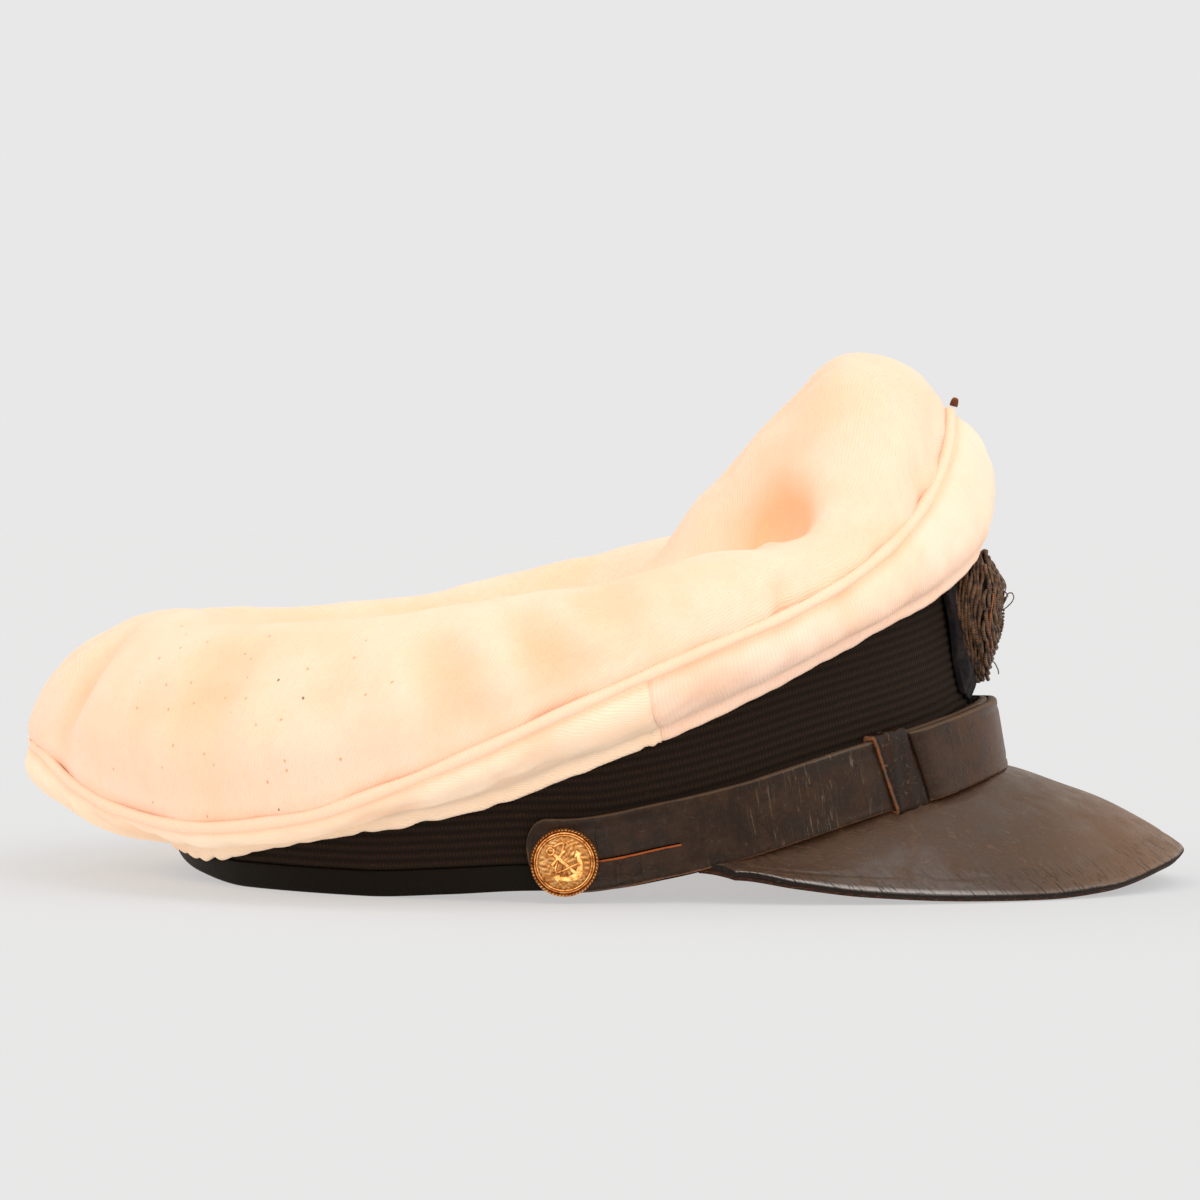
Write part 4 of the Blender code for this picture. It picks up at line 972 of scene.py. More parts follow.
def makePeak():
    share = np.sin(np.linspace(-1, 1, peak["around"]) * pi / 2 * 0.97) / sin(pi / 2 * 0.97)
    nearEdge, edgeShare = np.array(peak["nearEdge"]), peak["edgeShare"]
    inner = np.linspace(0, 1, peak["inner"])[:-1] ** 0.8 * (1 - edgeShare)
    steps = np.append(inner, 1 - edgeShare + edgeShare * (1 - nearEdge / nearEdge[0]))
    under, length = peakLines(share, steps)
    up = gridNormals(under, False, (bandX + bandA, 0, -1))
    toEdge = (1 - steps)[None] * length[:, None]
    wave = 0.00022 * softNoise(under, 0.02, 61) * ramp(toEdge, 0, 0.01)
    wave = wave + 0.0005 * mound(under[..., 0] - 0.118, 0.014) * mound(under[..., 1] + 0.045, 0.02)
    tuck = 0.0026 * (1 - steps[None]) ** 3 * (1 - np.abs(share[:, None]) ** 4)
    at, wide, deep = peak["crease"]
    rim = 0.0004 * (np.exp(-toEdge / 0.005) - np.exp(-toEdge / 0.0006)) - 0.0001 * bell(toEdge, 0.0003)
    topThick = peak["wall"] + wave + tuck + rim - deep * bell(toEdge - at, wide)
    bottomThick = peak["underWall"] + 0.00002 + wave * 0.5 + tuck + 0.00025 * bell(toEdge, 0.0003)
    top, bottom = under + up * topThick[..., None], under + up * bottomThick[..., None]
    arc = lengthGone(under[:, -1])[:, None]
    uv = np.stack([arc + 0 * toEdge, toEdge], -1) * 1000
    forward, right = peak["cut"]
    cut = bell(top[..., 0] - forward - (top[..., 1] + 0.066) * 0.25, 0.0004) * mound(top[..., 1] + right, 0.006)
    toSide = np.minimum(arc, arc[-1] - arc) * steps[None]
    marks = {"toEdge": np.minimum(toEdge, toSide) * 1000, "scratch": cut}
    dress(makeSheet("peakTop", top, uv, peakMaterial(), bottom, marks=marks), "peak_leather", "peak")
    outward = unit(under[:, -1] - under[:, -2])[:, None] * bell(toEdge, 0.001)[..., None] * 0.00015
    upper, raw = under + up * peak["underWall"] - outward, rawMaterial("rawLeather", peak["raw"], peak["rawDark"])
    dress(makeSheet("peakUnder", upper, uv, raw, under - outward), "peak_leather", "peak")


makePeak()
print("peak made")

# The chin strap

strap = {
    "width": 0.0185,
    "wall": 0.002,
    "stand": 0.0036,
    # angle, foot above the rim, how far the inner and outer halves stand off
    "rows": (
        (-96, -0.01, 0.22, 0.22), (-90, -0.02, 0.22, 0.22), (-84, 0.02, 0.24, 0.24), (-77, 0.04, 0.28, 0.28),
        (-62, 0.03, 0.38, 0.38), (-46, 0.06, 0.54, 1.18), (-36, 0.06, 0.62, 1.26), (0, 0.03, 1.00, 1.64),
        (36, 0.06, 0.62, 1.26), (46, 0.06, 0.54, 1.18), (62, 0.03, 0.38, 0.70), (77, 0.04, 0.28, 0.35),
        (84, 0.02, 0.24, 0.24), (90, -0.02, 0.22, 0.22), (96, -0.01, 0.22, 0.22),
    ),
    "buttonAngle": 90.8,
    "shank": 0.0015,
    "slitEnd": 75.5,
    "slitWidth": 0.0004,
    "slitDrop": 0.0015,
    "endCut": 0.0022,
    "edge": (0, 0.12, 0.35, 0.7, 1.1, 1.6, 2.2),  # millimetres from an edge, closer where it rounds over
    "rounds": (8, 16, 26, 36, 46, 56, 66, 76, 84),  # degrees round the end past the button
    "rounding": 0.0006,
    "groove": (0.0023, 0.0004, 0.00022),  # pressed line: from the edge, width, depth
    "keeperWall": 0.0012,
    "keeperFrom": 37.6,
    "keeperTo": 45.3,
    "keeperRows": 18,
    "keeperWide": 14.5,
    "keeperCorner": 0.0007,
    "lean": 2.2,
}  # fmt: skip
strapLook = {
    "colour": srgb(33, 20, 11),
    "second": srgb(52, 34, 21),
    "light": srgb(146, 122, 100),
    "raw": srgb(166, 84, 38),
    "deep": srgb(14, 8, 5),
    "paintedFrontLight": srgb(76, 48, 30),
    "crack": (0.20, 0.06, 0.1),
    "cracked": 0.7,
    "scratch": (1.5, 0.045, 0.1),
    "reach": 0.6,
    "rubbed": 0.22,
}
keeperLook = {
    **strapLook,
    "colour": srgb(24, 11, 3),
    "second": srgb(44, 24, 11),
    "crack": (0.22, 0.22, 0.1),
    "cracked": 0.8,
    "scratch": (0.5, 0.2, 0.1),
    "reach": 0.5,
    "rubbed": 0.35,
}


def strapPoint(angle, across, out):
    return bandPoint(angle, readTable(strap["rows"], angle)[..., 0] * strap["width"] + across, out)


def strapFace(angle, half):
    return readTable(strap["rows"], angle)[..., 2 if half == "outer" else 1] * strap["stand"] + strap["wall"]


def degreesAlong(length):
    turn = radians(strap["buttonAngle"])
    return np.degrees(length / np.hypot(bandA * np.sin(turn), bandB * np.cos(turn)))


def strapMaterial(name, look):
    material, tree, shader = newMaterial(name, 0.45, Specular_IOR_Level=0.12, Coat_Roughness=0.2)
    place, scuff = placeOf(tree), markOf(tree, "scuff")
    crackShape = {"Grain": 1.3, "Crack": look["crack"], "Cracked": look["cracked"], "Scratch": look["scratch"]}
    skin = useGroup(leatherSkin, Coords=uvOf(tree), **crackShape)
    worn = useGroup(edgeWear, Coords=place, Distance=markOf(tree, "toEdge"), Reach=look["reach"])["Worn"]
    raw = useGroup(edgeWear, Coords=place, Distance=markOf(tree, "toCut"), Reach=0.48)["Worn"]
    lint = useGroup(dust, Coords=place, Amount=0.45)["Dust"]
    mottle = skin["Mottle"]
    colour = paintOver(
        look["colour"],
        (between(mottle, 0.38, 0.7), look["second"]),
        # painted light: lighter brown towards the front, where the front light falls on the strap
        (markOf(tree, "paintedFrontLight") * between(mottle, 0.3, 0.6, 0.35, 1.0), look["paintedFrontLight"]),
        (skin["Scratches"] * scuff * 0.5, look["light"]),
        (skin["Cracks"] * 0.7, look["deep"]),
        (worn * look["rubbed"], look["light"]),
        (lint * 0.3, lintGrey),
        (raw * 0.9, look["raw"]),
    )
    rough = mottle * 0.25 + 0.33 + calc("MAXIMUM", worn, raw) * 0.25
    coat = (scuff * 0.22 + 0.02) * between(mottle, 0.3, 0.65, 1.0, 0.3)
    feed(shader, {"Base Color": colour, "Roughness": rough, "Coat Weight": coat})
    addBump(shader, skin["Height"], 0.0002, 0.6)
    return material


strapLeather = strapMaterial("strapLeather", strapLook)


def makeStrap(name, node, side, half):
    width, radius, edge = strap["width"], strap["width"] / 2, np.array(strap["edge"]) / 1000
    stop = -strap["keeperFrom"] + degreesAlong(cap["gap"] * 0.6)
    hole = degreesAlong(strap["shank"] + cap["gap"])
    end, startHole = strap["buttonAngle"] + hole + degreesAlong(radius - strap["endCut"]), strap["buttonAngle"] - hole
    rounds, bow = np.radians(strap["rounds"]), degreesAlong(0.7 * radius)
    straight = [
        np.linspace(end - bow, startHole, 6),
        np.linspace(startHole, strap["slitEnd"], 22)[1:],
        np.linspace(strap["slitEnd"], stop, int((strap["slitEnd"] - stop) / 0.5))[1:],
    ]
    angle = np.concatenate([end - bow * (1 - np.cos(rounds)), *straight])
    scale = np.append(np.sin(rounds), np.ones(len(angle) - len(rounds)))[:, None]
    slit = radius - strap["slitDrop"]
    low, high = slit - strap["slitWidth"] / 2, slit + strap["slitWidth"] / 2
    below = np.append(np.linspace(0.0035, low - 0.0017, 4), [low - 0.0009, low])
    above = np.append([high, high + 0.0006], np.linspace(high + 0.0014, width - 0.0035, 6))
    level = np.concatenate([edge, below, above, width - edge[::-1]])
    heights = radius + (level[None] - radius) * scale
    closeness = np.minimum(heights - radius * (1 - scale), radius * (1 + scale) - heights)
    closeness = np.minimum(closeness, ((end - angle) / degreesAlong(0.001) / 1000)[:, None])
    nearStop = 1 - ramp(angle[:, None], stop, stop + 16)
    at = side * (angle[:, None] - strap["lean"] * (heights / width - 0.5) * nearStop)
    bare = strapPoint(at, heights, 0)
    face = strapFace(at, half) + 0.00018 * softNoise(bare, 0.018, 71 if side < 0 else 72)
    spot, wide, deep = strap["groove"]
    rounded = strap["rounding"] * (1 - np.minimum(closeness / strap["rounding"], 1)) ** 2
    skive = 0.0006 * np.exp(-((angle - stop) / degreesAlong(0.0022)) ** 2)[:, None] * (half == "outer")
    front = strapPoint(at, heights, face - rounded - deep * bell(closeness - spot, wide) - skive)
    back = strapPoint(at, heights, face - strap["wall"])
    i, j = np.meshgrid(np.arange(len(angle) - 1), np.arange(len(level) - 1), indexing="ij")
    slitRow = int(np.searchsorted(level, slit)) - 1
    keep = ~((j == slitRow) & (angle[i + 1] >= strap["slitEnd"] - 0.01) & (angle[i] <= startHole + 0.01))
    uv = np.stack([lengthGone(bare[:, 10])[:, None] + 0 * heights, heights], -1) * 1000
    around = angle[:, None]
    bySlit = (around >= strap["slitEnd"] - 0.3) & (around < startHole + 1) & (level < slit)[None]
    toSlit = np.where(bySlit, (low - level[None]) * 1000, 9)
    toCut = np.minimum(toSlit, closeness * 1000 + np.where((heights < radius) & (around < 84), 0.25, 0.6))
    world = np.abs(at)
    marks = {
        "toEdge": closeness * 1000,
        "toCut": toCut,
        # painted light on the strap's front part
        "paintedFrontLight": 0.75 * ramp(42 - world, 0, 26) ** 1.2,
        "scuff": 0.15 + 0.85 * mound(world - 54, 16) + 0.25 * ramp(40 - world, 0, 40),
    }
    dress(makeSheet(name, front, uv, strapLeather, back, keep=keep, marks=marks), "strap_leather", node)


makeStrap("strapInner", "strap_inner", -1, "inner")
makeStrap("strapOuter", "strap_outer", 1, "outer")
keeperLeather = strapMaterial("keeperLeather", keeperLook)


def makeKeeper(name, node, side, half):
    gap, width, corner, rows = cap["gap"] * 0.6, strap["width"], strap["keeperCorner"], strap["keeperRows"]
    angle = np.linspace(strap["keeperFrom"] - 0.08, strap["keeperTo"] - 1.2, rows)
    low, high = corner - gap, width + gap - corner

    def bend(base, outer, *turns):
        return [(base + corner * sin(turn), outer, sin(turn), cos(turn)) for turn in np.radians(turns)]

    loop = [(across, 1, 0, 1) for across in np.linspace(low, high, 14)]  # across, outer or inner, way out
    loop += bend(high, 1, 22, 45, 68, 90) + bend(high, 0, 90, 112, 135, 158, 180)
    loop += [(across, 0, 0, -1) for across in np.linspace(high, low, 10)[1:]]
    loop += bend(low, 0, 202, 225, 248, 270) + bend(low, 1, 270, 292, 315, 338)
    across, deep, sideways, outwards = np.array(loop).T[..., None]
    at = side * (angle[None] + strap["lean"] * (across / width - 0.5))
    face = strapFace(at, half)
    out = np.where(deep > 0, face + gap, face - strap["wall"] - gap)
    row = np.arange(rows)[None]
    toEdge = np.minimum(row, rows - 1 - row) * strap["keeperWide"] / (rows - 1)
    worn = strap["keeperWall"] * (1 + 0.12 * np.sin(row * 0.9 + across * 300))
    worn = worn - 0.0004 * (1 - np.minimum(toEdge / 0.9, 1)) ** 2
    inner = strapPoint(at, across, out)
    outer = strapPoint(at, across + sideways * worn, out + outwards * worn)
    steps = np.abs(np.diff(across[:, 0])) + np.abs(np.diff(deep[:, 0])) * 0.002
    uv = pairs(np.concatenate([[0], np.cumsum(steps), [0.048]]) * 1000, np.linspace(0, strap["keeperWide"], rows))
    marks = {"toEdge": toEdge + 0 * at, "toCut": toEdge + 0.36 + 0 * at, "paintedFrontLight": 0 * at, "scuff": 0 * at + 0.5}
    dress(makeSheet(name, outer, uv, keeperLeather, inner, closed=True, marks=marks), "keeper_leather", node)


makeKeeper("keeperRight", "keeper_right", -1, "inner")
makeKeeper("keeperLeft", "keeper_left", 1, "outer")
print("strap made")

# The buttons

button = {
    "radius": 0.0085,
    "height": 0.003,
    "notches": 60,
    "profile": (  # share out, share up
        (0.02, 0.80), (0.3, 0.79), (0.55, 0.76), (0.72, 0.71), (0.765, 0.68), (0.78, 0.76), (0.805, 0.78),
        (0.825, 0.72), (0.84, 0.62), (0.88, 0.60), (0.90, 0.54), (0.915, 0.58), (0.93, 0.74), (0.95, 0.80),
        (0.975, 0.72), (0.99, 0.5), (1.0, 0.35), (0.99, 0.15), (0.95, 0.0), (0.5, 0.0),
    ),
    "dark": ((0.90, 0.014, 1), (0.76, 0.012, 0.7), (0.845, 0.014, 0.6)),  # dark rings: share out, width, strength
    "ropeAt": (0.96, 0.045),
    "ropeDeep": 0.0005,
    "anchor": 0.70,
    "cable": {
        "count": 70, "turns": 8.2, "phase": 0.4, "sway": 0.62, "narrowing": 0.25, "top": 0.78, "run": 1.45,
        "height": 0.00306, "lift": 0.00042, "eyeCount": 24, "eyeSize": 0.15, "eyeAt": 0.76, "eyeHeight": 0.003,
        "radii": (0.00036, 0.00032),
    },
    "tilt": {-1: radians(50), 1: radians(-30)},
    "gold": srgb(250, 196, 126),
    "brass": srgb(216, 142, 74),
    "tarnish": srgb(66, 34, 14),
}  # fmt: skip


def brassMaterial():
    material, tree, shader = newMaterial("oldBrass", 0.35, Metallic=1.0)
    place = placeOf(tree)
    tarnish = noiseOf(place, 0.7, 4.0, 0.65)
    shade = calc("MAXIMUM", markOf(tree, "deep"), between(tarnish, 0.52, 0.75))
    gold = (between(tarnish, 0.3, 0.6), button["brass"])
    colour = paintOver(button["gold"], gold, (shade, button["tarnish"]))
    feed(shader, {"Base Color": colour, "Roughness": shade * 0.35 + 0.3})
    addBump(shader, noiseOf(place, 3.0, 3.0), 0.0001, 0.4)
    return material


oldBrass = brassMaterial()
anchorHalf = (
    (0.00, 0.60), (0.07, 0.58), (0.08, 0.40), (0.42, 0.40), (0.42, 0.27), (0.08, 0.27), (0.08, -0.56),
    (0.30, -0.46), (0.52, -0.22), (0.42, -0.16), (0.74, 0.02), (0.80, -0.34), (0.68, -0.30),
    (0.48, -0.62), (0.22, -0.84), (0.00, -0.92),
)  # fmt: skip


def makeAnchor(name, size, low, high, material):  # a plain anchor plate with softened edges
    outline = [*anchorHalf, *[(-x, y) for x, y in reversed(anchorHalf[1:-1])]]
    count = len(outline)
    points = [(x * size, y * size, height) for height in (low, high) for x, y in outline]
    faces = [list(range(count, 2 * count)), list(reversed(range(count)))]
    faces += [[i, (i + 1) % count, count + (i + 1) % count, count + i] for i in range(count)]
    uvs = np.zeros((sum(len(face) for face in faces), 2))
    piece = makeMesh(name, points, faces, uvs, {"deep": np.repeat([1.0, 0.0], count)}, material, smooth=False)
    bevel = piece.modifiers.new("Soft", "BEVEL")
    bevel.width, bevel.segments = 0.055 * size, 3
    return piece


def makeCable(name, size, cable, material):  # winds down an anchor from the eye at its top
    t = np.linspace(0, 1, cable["count"])
    wind = t * cable["turns"] + cable["phase"]
    sway = np.sin(wind) * (cable["sway"] - cable["narrowing"] * t) * size
    rope = xyz(sway, (cable["top"] - cable["run"] * t) * size, cable["height"] + cable["lift"] * np.cos(wind))
    turn = np.linspace(0, 2 * pi, cable["eyeCount"])
    reach, middle = cable["eyeSize"] * size, cable["eyeAt"] * size
    eye = xyz(reach * np.cos(turn), middle + reach * np.sin(turn), cable["eyeHeight"])
    return makeTubes(name, [rope, eye], cable["radii"], material, sides=8)


def makeButton(name, node, side, half):
    angle = side * strap["buttonAngle"]
    slit = strap["width"] / 2 - strap["slitDrop"]
    seat = Vector(strapPoint(angle, slit, strapFace(angle, half) + cap["gap"]))
    foot = Vector(strapPoint(angle, slit, cap["gap"]))
    place = Matrix.Translation(seat) @ (seat - foot).normalized().to_track_quat("Z", "Y").to_matrix().to_4x4()
    radius, rise, notches = button["radius"], button["height"], button["notches"]
    profile = np.array(button["profile"])
    fine, marks = np.linspace(0, len(profile) - 1, 70), np.arange(len(profile))
    share, up = (np.interp(fine, marks, profile[:, k])[None] for k in (0, 1))
    turn = np.linspace(-pi, pi, notches * 6, endpoint=False)[:, None]
    at, wide = button["ropeAt"]
    rope = bell(share - at, wide) * (up > 0.3)
    twist = np.abs(np.cos(notches / 2 * turn + share * 14))
    reach = share * radius
    stipple = np.sin(turn * 3 + reach * 9000) * np.sin(reach * 7800 + turn * 40 * share) * (share < 0.75)
    level = up * rise - rope * button["ropeDeep"] * (1 - twist) ** 1.2 + stipple * 0.00005
    reach = reach - 0.00016 * rope * (1 - twist)
    front = xyz(reach * np.cos(turn), reach * np.sin(turn), level)
    deep = 1.1 * rope * (1 - twist) ** 0.8 + (share < 0.75) * (0.5 - 0.3 * stipple)
    deep = deep + sum(dark * bell(share - at, wide) for at, wide, dark in button["dark"])
    uv = np.zeros((len(turn) + 1, len(fine), 2))
    hub, marks = [(0, 0, 0.8 * rise)], {"deep": np.clip(deep, 0, 1)}
    disc = makeSheet(name, front, uv, oldBrass, closed=True, hub=hub, marks=marks)
    dress(disc, "button_brass", node).matrix_world = place
    size = button["anchor"] * radius
    anchor = makeAnchor(name + "Anchor", size, 0.6 * rise, 1.12 * rise, oldBrass)
    cable = makeCable(name + "Rope", size, button["cable"], oldBrass)
    for piece in (anchor, cable):
        dress(piece, "button_brass").matrix_world = place @ Matrix.Rotation(button["tilt"][side], 4, "Z")
    shank = makeTubes(name + "Shank", [np.array([foot, foot.lerp(seat, 0.5), seat])], [0.0014], oldBrass, sides=16)
    dress(shank, "button_brass")


makeButton("buttonRight", "button_right", -1, "inner")
makeButton("buttonLeft", "button_left", 1, "outer")
print("buttons made")

# The badge

badge = {
    "width": 0.046,
    "tuck": 0.0036,
    "backing": 0.004,
    "margin": 0.004,
    "pad": 0.0092,
    "rows": ((-1.00, 0.05), (-0.70, 0.22), (-0.30, 0.68), (0.00, 0.88), (0.45, 1.00), (1.00, 0.62)),
    "felt": srgb(20, 18, 22),
    "feltWorn": srgb(44, 36, 32),
    "feltLint": srgb(110, 96, 84),
    "thread": srgb(122, 86, 56),
    "threadDark": srgb(38, 25, 17),
    "orange": srgb(168, 92, 44),
    "orangeDark": srgb(120, 56, 24),
    "leaves": 11,
    "leafFrom": -86,
    "leafSpan": 163,
    "leafWide": 0.082,
    "leafThick": 0.0006,
    "sides": 9,
    "sideThick": 0.00075,
    "loose": 14,
    "beads": 10,
    "anchor": (0.45, -0.0016, 0.0012),  # size, back, front
    "anchorSink": 0.0010,
    "cable": {
        "count": 50, "turns": 7.5, "phase": 0, "sway": 0.42, "narrowing": 0, "top": 0.65, "run": 1.3,
        "height": 0.0013, "lift": 0.0004, "eyeCount": 20, "eyeSize": 0.13, "eyeAt": 0.72, "eyeHeight": 0.0008,
        "radii": (0.0004, 0.0004),
    },
    # loose wire ends: height on the badge, then forward and up in millimetres
    "curls": (
        (0.62, 0, 0, 1.2, 0.6, 2.4, -0.8, 2.9, -2.6, 2.2, -4.4, 1.0, -5.2, 0.5, -4.2, 1.2, -3.2, 2.6, -3.6, 3.3, -5.0),
        (0.10, 0, 0, 1.4, 0.8, 2.8, 2.2, 3.4, 3.6, 2.8, 4.8, 1.7, 4.6, 1.3, 3.6),
        (-0.62, 0, 0, 1.0, -0.8, 2.2, -2.2, 2.9, -3.8, 3.0, -4.8),
    ),
}  # fmt: skip
badgeRise = 1.05 * strap["width"] + cap["gap"]
badgeHeight = bandRows[0][2] * cap["bandHeight"] + badge["tuck"] - badgeRise
wreathWidth = badge["width"] - badge["margin"]
wreathHeight = badgeHeight - 2 * badge["margin"]


def badgePoint(across, up, out):
    return bandPoint(np.degrees(np.arcsin(across / bandB)), badgeRise + up, out)


def wreathPoint(x, y, out):
    return badgePoint(np.asarray(x) * wreathWidth / 2, badgeHeight / 2 + np.asarray(y) * wreathHeight / 2, out)


def padHeight(x, y):
    crown = readTable(badge["rows"], y)[..., 0] * badge["pad"]
    return 2 * cap["gap"] + badge["backing"] + crown * (1 - 0.5 * np.asarray(x) ** 2)


def onPad(x, y, lift=0.0, share=1.0):
    return wreathPoint(x, y, padHeight(x, y) * share + lift)


def feltMaterial():
    sheen = {"Sheen_Weight": 0.05, "Sheen_Roughness": 0.5, "Specular_IOR_Level": 0.1}
    material, tree, shader = newMaterial("badgeFelt", 0.95, **sheen)
    place = placeOf(tree)
    worn = between(noiseOf(place, 0.25, 4.0), 0.42, 0.75)
    lint = useGroup(dust, Coords=place, Amount=0.8)["Dust"] * 0.25
    feed(shader, {"Base Color": paintOver(badge["felt"], (worn, badge["feltWorn"]), (lint, badge["feltLint"]))})
    addBump(shader, noiseOf(place, 2.4, 5.0, 0.75), 0.0004, 0.8)
    return material


def bullionMaterial(name, light, dark, metallic):
    material, tree, shader = newMaterial(name, 0.55, Metallic=metallic)
    x, y, _ = split(uvOf(tree))
    coil = calc("SINE", x * (2 * pi / 0.45) + y)
    age = between(noiseOf(placeOf(tree), 0.5, 4.0, 0.65), 0.35, 0.68)
    colour = paintOver(light, (age, dark), (between(coil, -1.0, 0.3, 0.7, 0.0), dark))
    feed(shader, {"Base Color": colour, "Roughness": age * 0.3 + 0.45})
    addBump(shader, coil, 0.00012, 0.8)
    return material


def makeFelt(felt):
    x, y = pairs(np.linspace(-1, 1, 90), np.linspace(0, 1, 90)).transpose(2, 0, 1)
    half, corner = badge["width"] / 2, 0.25 * badgeHeight
    inset = ramp(np.abs(x) * half, half - corner, half)
    low = corner * (1 - np.sqrt(1 - np.minimum(inset, 0.999) ** 2)) * 0.8
    fray = 0.0006 * softNoise(xyz(x * 0.02, y * 0.02, 0), 0.003, 81)
    across, up = x * half, low + (badgeHeight - low) * y + fray * (1 - y) ** 6
    bare = badgePoint(across, up, 0)
    thick = 0.72 + 0.10 * softNoise(bare, 0.012, 82) + 0.05 * softNoise(bare, 0.004, 83)
    edge = np.minimum((1 - np.abs(x)) * 10, 1) * np.minimum(y * 12, 1)
    thick = np.clip(thick, 0.4, 1) * badge["backing"] * (0.45 + 0.55 * edge)
    curl = 0.0009 * bell(1 - np.abs(x), 0.14) * (0.6 + 0.4 * np.sin(y * 9 + x * 2))
    front = badgePoint(across + np.sign(x) * curl * 0.4, up, cap["gap"] + thick + curl)
    back = badgePoint(across, up, cap["gap"] + curl * 0.8)
    uv = np.stack([across, up], -1) * 1000
    dress(makeSheet("badgeFeltPatch", front, uv, felt, back), "badge_felt", "badge_backing")


def makePad(felt):
    turn, ring = np.linspace(-pi, pi, 120, endpoint=False)[:, None], np.linspace(0.06, 1, 26)[None]
    x, y = ring * np.cos(turn), ring * np.sin(turn)
    base = 2 * cap["gap"] + badge["backing"] * 0.8
    height = base + (padHeight(x, y) - base) * np.sqrt(np.clip(1 - ring**6, 0, 1)) * 0.94
    front = wreathPoint(x, y, height + 0.0002 * softNoise(wreathPoint(x, y, 0), 0.004, 84))
    uv = np.stack([x * 20, y * 18], -1)
    uv = np.concatenate([uv, uv[:1]])
    pad = makeSheet("badgePad", front, uv, felt, closed=True, hub=[onPad(0, 0)])
    dress(pad, "badge_felt", "badge")


def makeWreath(thread, rng):
    lines, radii = [], []
    for side in (-1, 1):
        for leaf in range(badge["leaves"]):
            start, t = radians(badge["leafFrom"] + leaf * badge["leafSpan"] / badge["leaves"]), np.linspace(0, 1, 9)
            for strand in range(-2, 3):
                wide = badge["leafWide"] * strand * np.sin(pi * np.clip(t * 0.9 + 0.08, 0, 1))
                reach = 0.78 + 0.12 * t + wide * 1.25 - 0.07 * (leaf % 2)
                turn = start + t * 0.52 + 0.03 * strand * (1 - t)
                lift = 0.0004 + 0.0014 * np.sin(pi * np.clip(t, 0.05, 0.95)) ** 0.7
                lift = lift - 0.00016 * abs(strand) + rng.uniform(-1, 1) * 0.00012
                lines.append(onPad(side * reach * np.cos(turn), reach * np.sin(turn), lift, 0.97))
                radii.append(badge["leafThick"] * (0.55 + 0.45 * np.sin(pi * np.clip(t, 0.04, 0.96))))
        for level in range(badge["sides"]):  # strands down the side of the wreath
            t = np.linspace(0, 1, 60)
            turn = np.radians(-88 + t * 172)
            reach = 1.0 + 0.035 * np.sin(pi * (level + 0.5) / badge["sides"]) + 0.012 * np.sin(t * 40 + level * 2.3)
            x, y = side * reach * np.cos(turn), reach * np.sin(turn)
            part = 0.20 + 0.085 * level + 0.02 * np.sin(t * 23 + level * 1.7)
            lines.append(wreathPoint(x, y, cap["gap"] + padHeight(0.9 * x, 0.9 * y) * part))
            radii.append(badge["sideThick"] * (0.8 + 0.25 * np.sin(t * 31 + level)))
    dress(makeTubes("badgeWreath", lines, radii, thread, sides=6), "badge_bullion", "badge")


def makeBadgeAnchor(thread):
    across = Vector(onPad(0.45, 0) - onPad(-0.45, 0)).normalized()
    upward = Vector(onPad(0, 0.45) - onPad(0, -0.45)).normalized()
    place = Matrix((across, upward, across.cross(upward))).transposed().to_4x4()
    place = Matrix.Translation(Vector(onPad(0, 0))) @ place @ Matrix.Translation((0, 0, -badge["anchorSink"]))
    size, low, high = badge["anchor"]
    size = size * wreathHeight / 2
    anchor = makeAnchor("badgeAnchor", size, low, high, thread)
    cable = makeCable("badgeAnchorRope", size, badge["cable"], thread)
    for piece in (anchor, cable):
        dress(piece, "badge_bullion").matrix_world = place


def makeLooseThreads(thread, rng):
    t, s = np.linspace(0, 1, 26), np.linspace(0, 1, 7)
    rim = np.radians(152 + t * (214 - 152))
    loose = [onPad(np.cos(rim) * 0.9, np.sin(rim) * 0.9, 0.0016 + 0.0002 * np.sin(t * 9))]
    for _ in range(badge["loose"]):
        turn, reach = rng.uniform(-pi, pi) + s * 0.14, rng.uniform(0.7, 0.98)
        x, y = reach * np.cos(turn), reach * np.sin(turn)
        loose.append(onPad(x, y, 0.0004 + 0.0012 * np.sin(pi * s) * rng.uniform(0.2, 1)))
    orange = bullionMaterial("rustThread", badge["orange"], badge["orangeDark"], 0.0)
    sizes = [0.0002] + [0.00016] * badge["loose"]
    dress(makeTubes("badgeLooseThread", loose, sizes, orange, sides=6), "badge_bullion")

    lift = np.array([[-0.0004, 0, 0], [-0.0002, 0, 0], [0, 0, 0], [0.0002, 0, 0], [0.0004, 0, 0]])
    beads = []
    for i in range(badge["beads"]):
        y = 0.12 - i * 0.055
        beads.append(wreathPoint(-0.36 - 0.01 * (i % 2), y, padHeight(-0.36, y) + 0.0009) + lift)
    sizes = [(0.0001, 0.00036, 0.00042, 0.00036, 0.0001)] * badge["beads"]
    dress(makeTubes("badgeBeads", beads, sizes, thread, sides=8), "badge_bullion")

    curls = []
    for y, *path in badge["curls"]:
        path = np.array(path).reshape(-1, 2) / 1000
        order = np.arange(len(path))
        line = onPad(-0.25, y) + xyz(path[:, 0], -0.0008 * order / len(path), path[:, 1])
        fine = np.linspace(0, len(path) - 1, 60)
        smooth = np.stack([np.interp(fine, order, line[:, k]) for k in range(3)], -1)
        for _ in range(8):
            smooth[1:-1] = (smooth[:-2] + 2 * smooth[1:-1] + smooth[2:]) / 4
        curls.append(smooth)
    dress(makeTubes("badgeWireEnds", curls, [0.00017] * 3, thread, sides=6), "badge_bullion")


feltCloth, randomDraws = feltMaterial(), np.random.default_rng(85)
bullion = bullionMaterial("tarnishedBullion", badge["thread"], badge["threadDark"], 0.15)
makeFelt(feltCloth)
makePad(feltCloth)
makeWreath(bullion, randomDraws)
makeBadgeAnchor(bullion)
makeLooseThreads(bullion, randomDraws)
print("badge made")

# The stay's tip

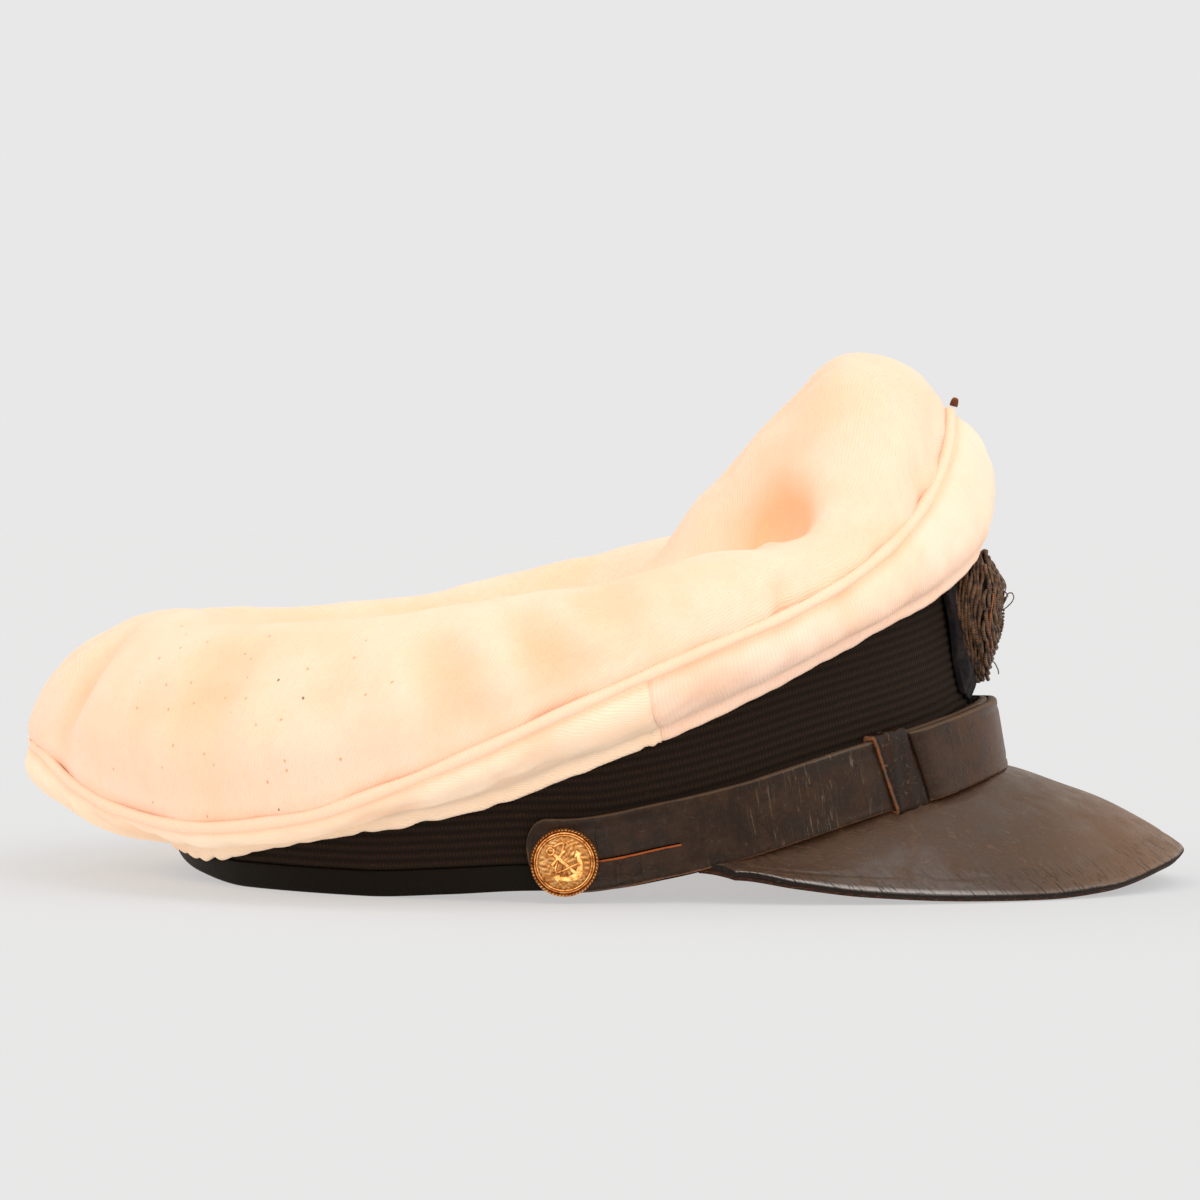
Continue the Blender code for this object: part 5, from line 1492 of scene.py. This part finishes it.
stay = {
    "width": 0.003,
    "wall": 0.0021,
    "length": 0.0023,
    "sections": ((0, 1.0), (0.25, 1.02), (0.5, 0.98), (0.7, 0.9), (0.86, 0.75), (1, 0.45)),  # share up, size
    "around": 16,
    "colour": srgb(168, 98, 50),
    "dark": srgb(92, 50, 26),
}


def makeStay():
    seam = Vector(seamPoint(0)) + Vector((cap["weltProud"], 0, 0))
    out, wide = Vector((0.25, 0, 1)).normalized(), Vector((0, 1, 0))
    deep = out.cross(wide).normalized()
    foot = seam + out * (cap["weltRadius"] + cap["gap"] * 0.5)
    front = np.zeros((len(stay["sections"]), stay["around"], 3))
    for i, (share, size) in enumerate(stay["sections"]):
        for j, turn in enumerate(np.linspace(0, 2 * pi, stay["around"], endpoint=False)):
            across = np.sign(cos(turn)) * abs(cos(turn)) ** 0.5 * stay["width"] / 2
            thick = np.sign(sin(turn)) * abs(sin(turn)) ** 0.5 * stay["wall"] / 2
            across = across + 0.00012 * sin(turn * 5 + share * 9)
            front[i, j] = foot + out * share * stay["length"] + (wide * across + deep * thick) * size
    uv = np.zeros((len(front), stay["around"] + 1, 2))
    material = rawMaterial("stayBrown", stay["colour"], stay["dark"])
    dress(makeSheet("stayTip", front, uv, material, loop=True), "stay", "stay_tip")


makeStay()

# The stage

studio = {
    "aim": (-0.00195, 0, 0.0728),
    "distance": 1.2,
    "raise": radians(1.35),
    "roll": radians(0.7),
    "frameWidth": 0.31884,
    "grey": (0.807, 0.807, 0.807, 1),
    "floor": (0.235, 0.245, 0.258, 1),
    "floorGlow": 0.475,
    "bounce": (1.6, 1.52, 1.42, 1),
    "ambient": (1.0, 0.93, 0.85, 1),
    "ambientStrength": 0.98,
    # from, strength, colour, softness
    "suns": (
        ((0.45, -0.35, 1.0), 0.85, (0.98, 1.0, 1.03), 45),
        ((-0.05, -1.0, 0.04), 1.15, (1.0, 1.0, 1.0), 40),
        ((-0.8, 0.3, 0.8), 0.5, (1.0, 1.0, 1.0), 60),
        ((1.0, -0.15, 0.5), 0.40, (1.0, 0.98, 0.95), 40),
    ),
}


def buildStage():
    scene = bpy.context.scene
    scene.view_settings.view_transform = "Standard"
    for number, (source, strength, colour, softness) in enumerate(studio["suns"]):
        light = bpy.data.lights.new(f"studioLight{number}", "SUN")
        light.energy, light.color, light.angle = strength, colour, radians(softness)
        addThing(light.name, light).rotation_euler = Vector(source).to_track_quat("Z", "Y").to_euler()
    world = bpy.data.worlds.new("studioAir")
    scene.world = world
    world.use_nodes = True
    tree = world.node_tree
    tree.nodes.clear()
    seen = Wire(put(tree, "Background", {"Color": studio["grey"], "Strength": 1.0}))
    lit = Wire(put(tree, "Background", {"Color": studio["ambient"], "Strength": studio["ambientStrength"]}))
    direct = Wire(put(tree, "LightPath"), "Is Camera Ray")
    put(tree, "OutputWorld", (join("MixShader", (direct, lit, seen)),))
    material, tree, shader = newMaterial("paleFloor", 1.0, Specular_IOR_Level=0.0)
    direct = Wire(put(tree, "LightPath"), "Is Camera Ray")
    glow = paintOver(studio["bounce"], (direct, (1, 1, 1, 1)))
    feed(shader, {"Base Color": studio["floor"], "Emission Color": glow, "Emission Strength": studio["floorGlow"]})
    mesh = bpy.data.meshes.new("studioFloor")
    mesh.from_pydata([(-9, -9, 0), (9, -9, 0), (9, 9, 0), (-9, 9, 0)], [], [(0, 1, 2, 3)])
    mesh.materials.append(material)
    addThing("studioFloor", mesh)
    lens = bpy.data.cameras.new("photoCamera")
    lens.sensor_width = 36
    lens.lens = 36 * studio["distance"] / studio["frameWidth"]
    lens.clip_start, lens.clip_end = 0.05, 50
    camera = addThing("photoCamera", lens)
    aim, rise = Vector(studio["aim"]), studio["raise"]
    spot = aim + Vector((0, -cos(rise), sin(rise))) * studio["distance"]
    look = (aim - spot).to_track_quat("-Z", "Y").to_matrix().to_4x4()
    camera.matrix_world = Matrix.Translation(spot) @ look @ Matrix.Rotation(studio["roll"], 4, "Z")
    scene.camera = camera


buildStage()
print("stage made")
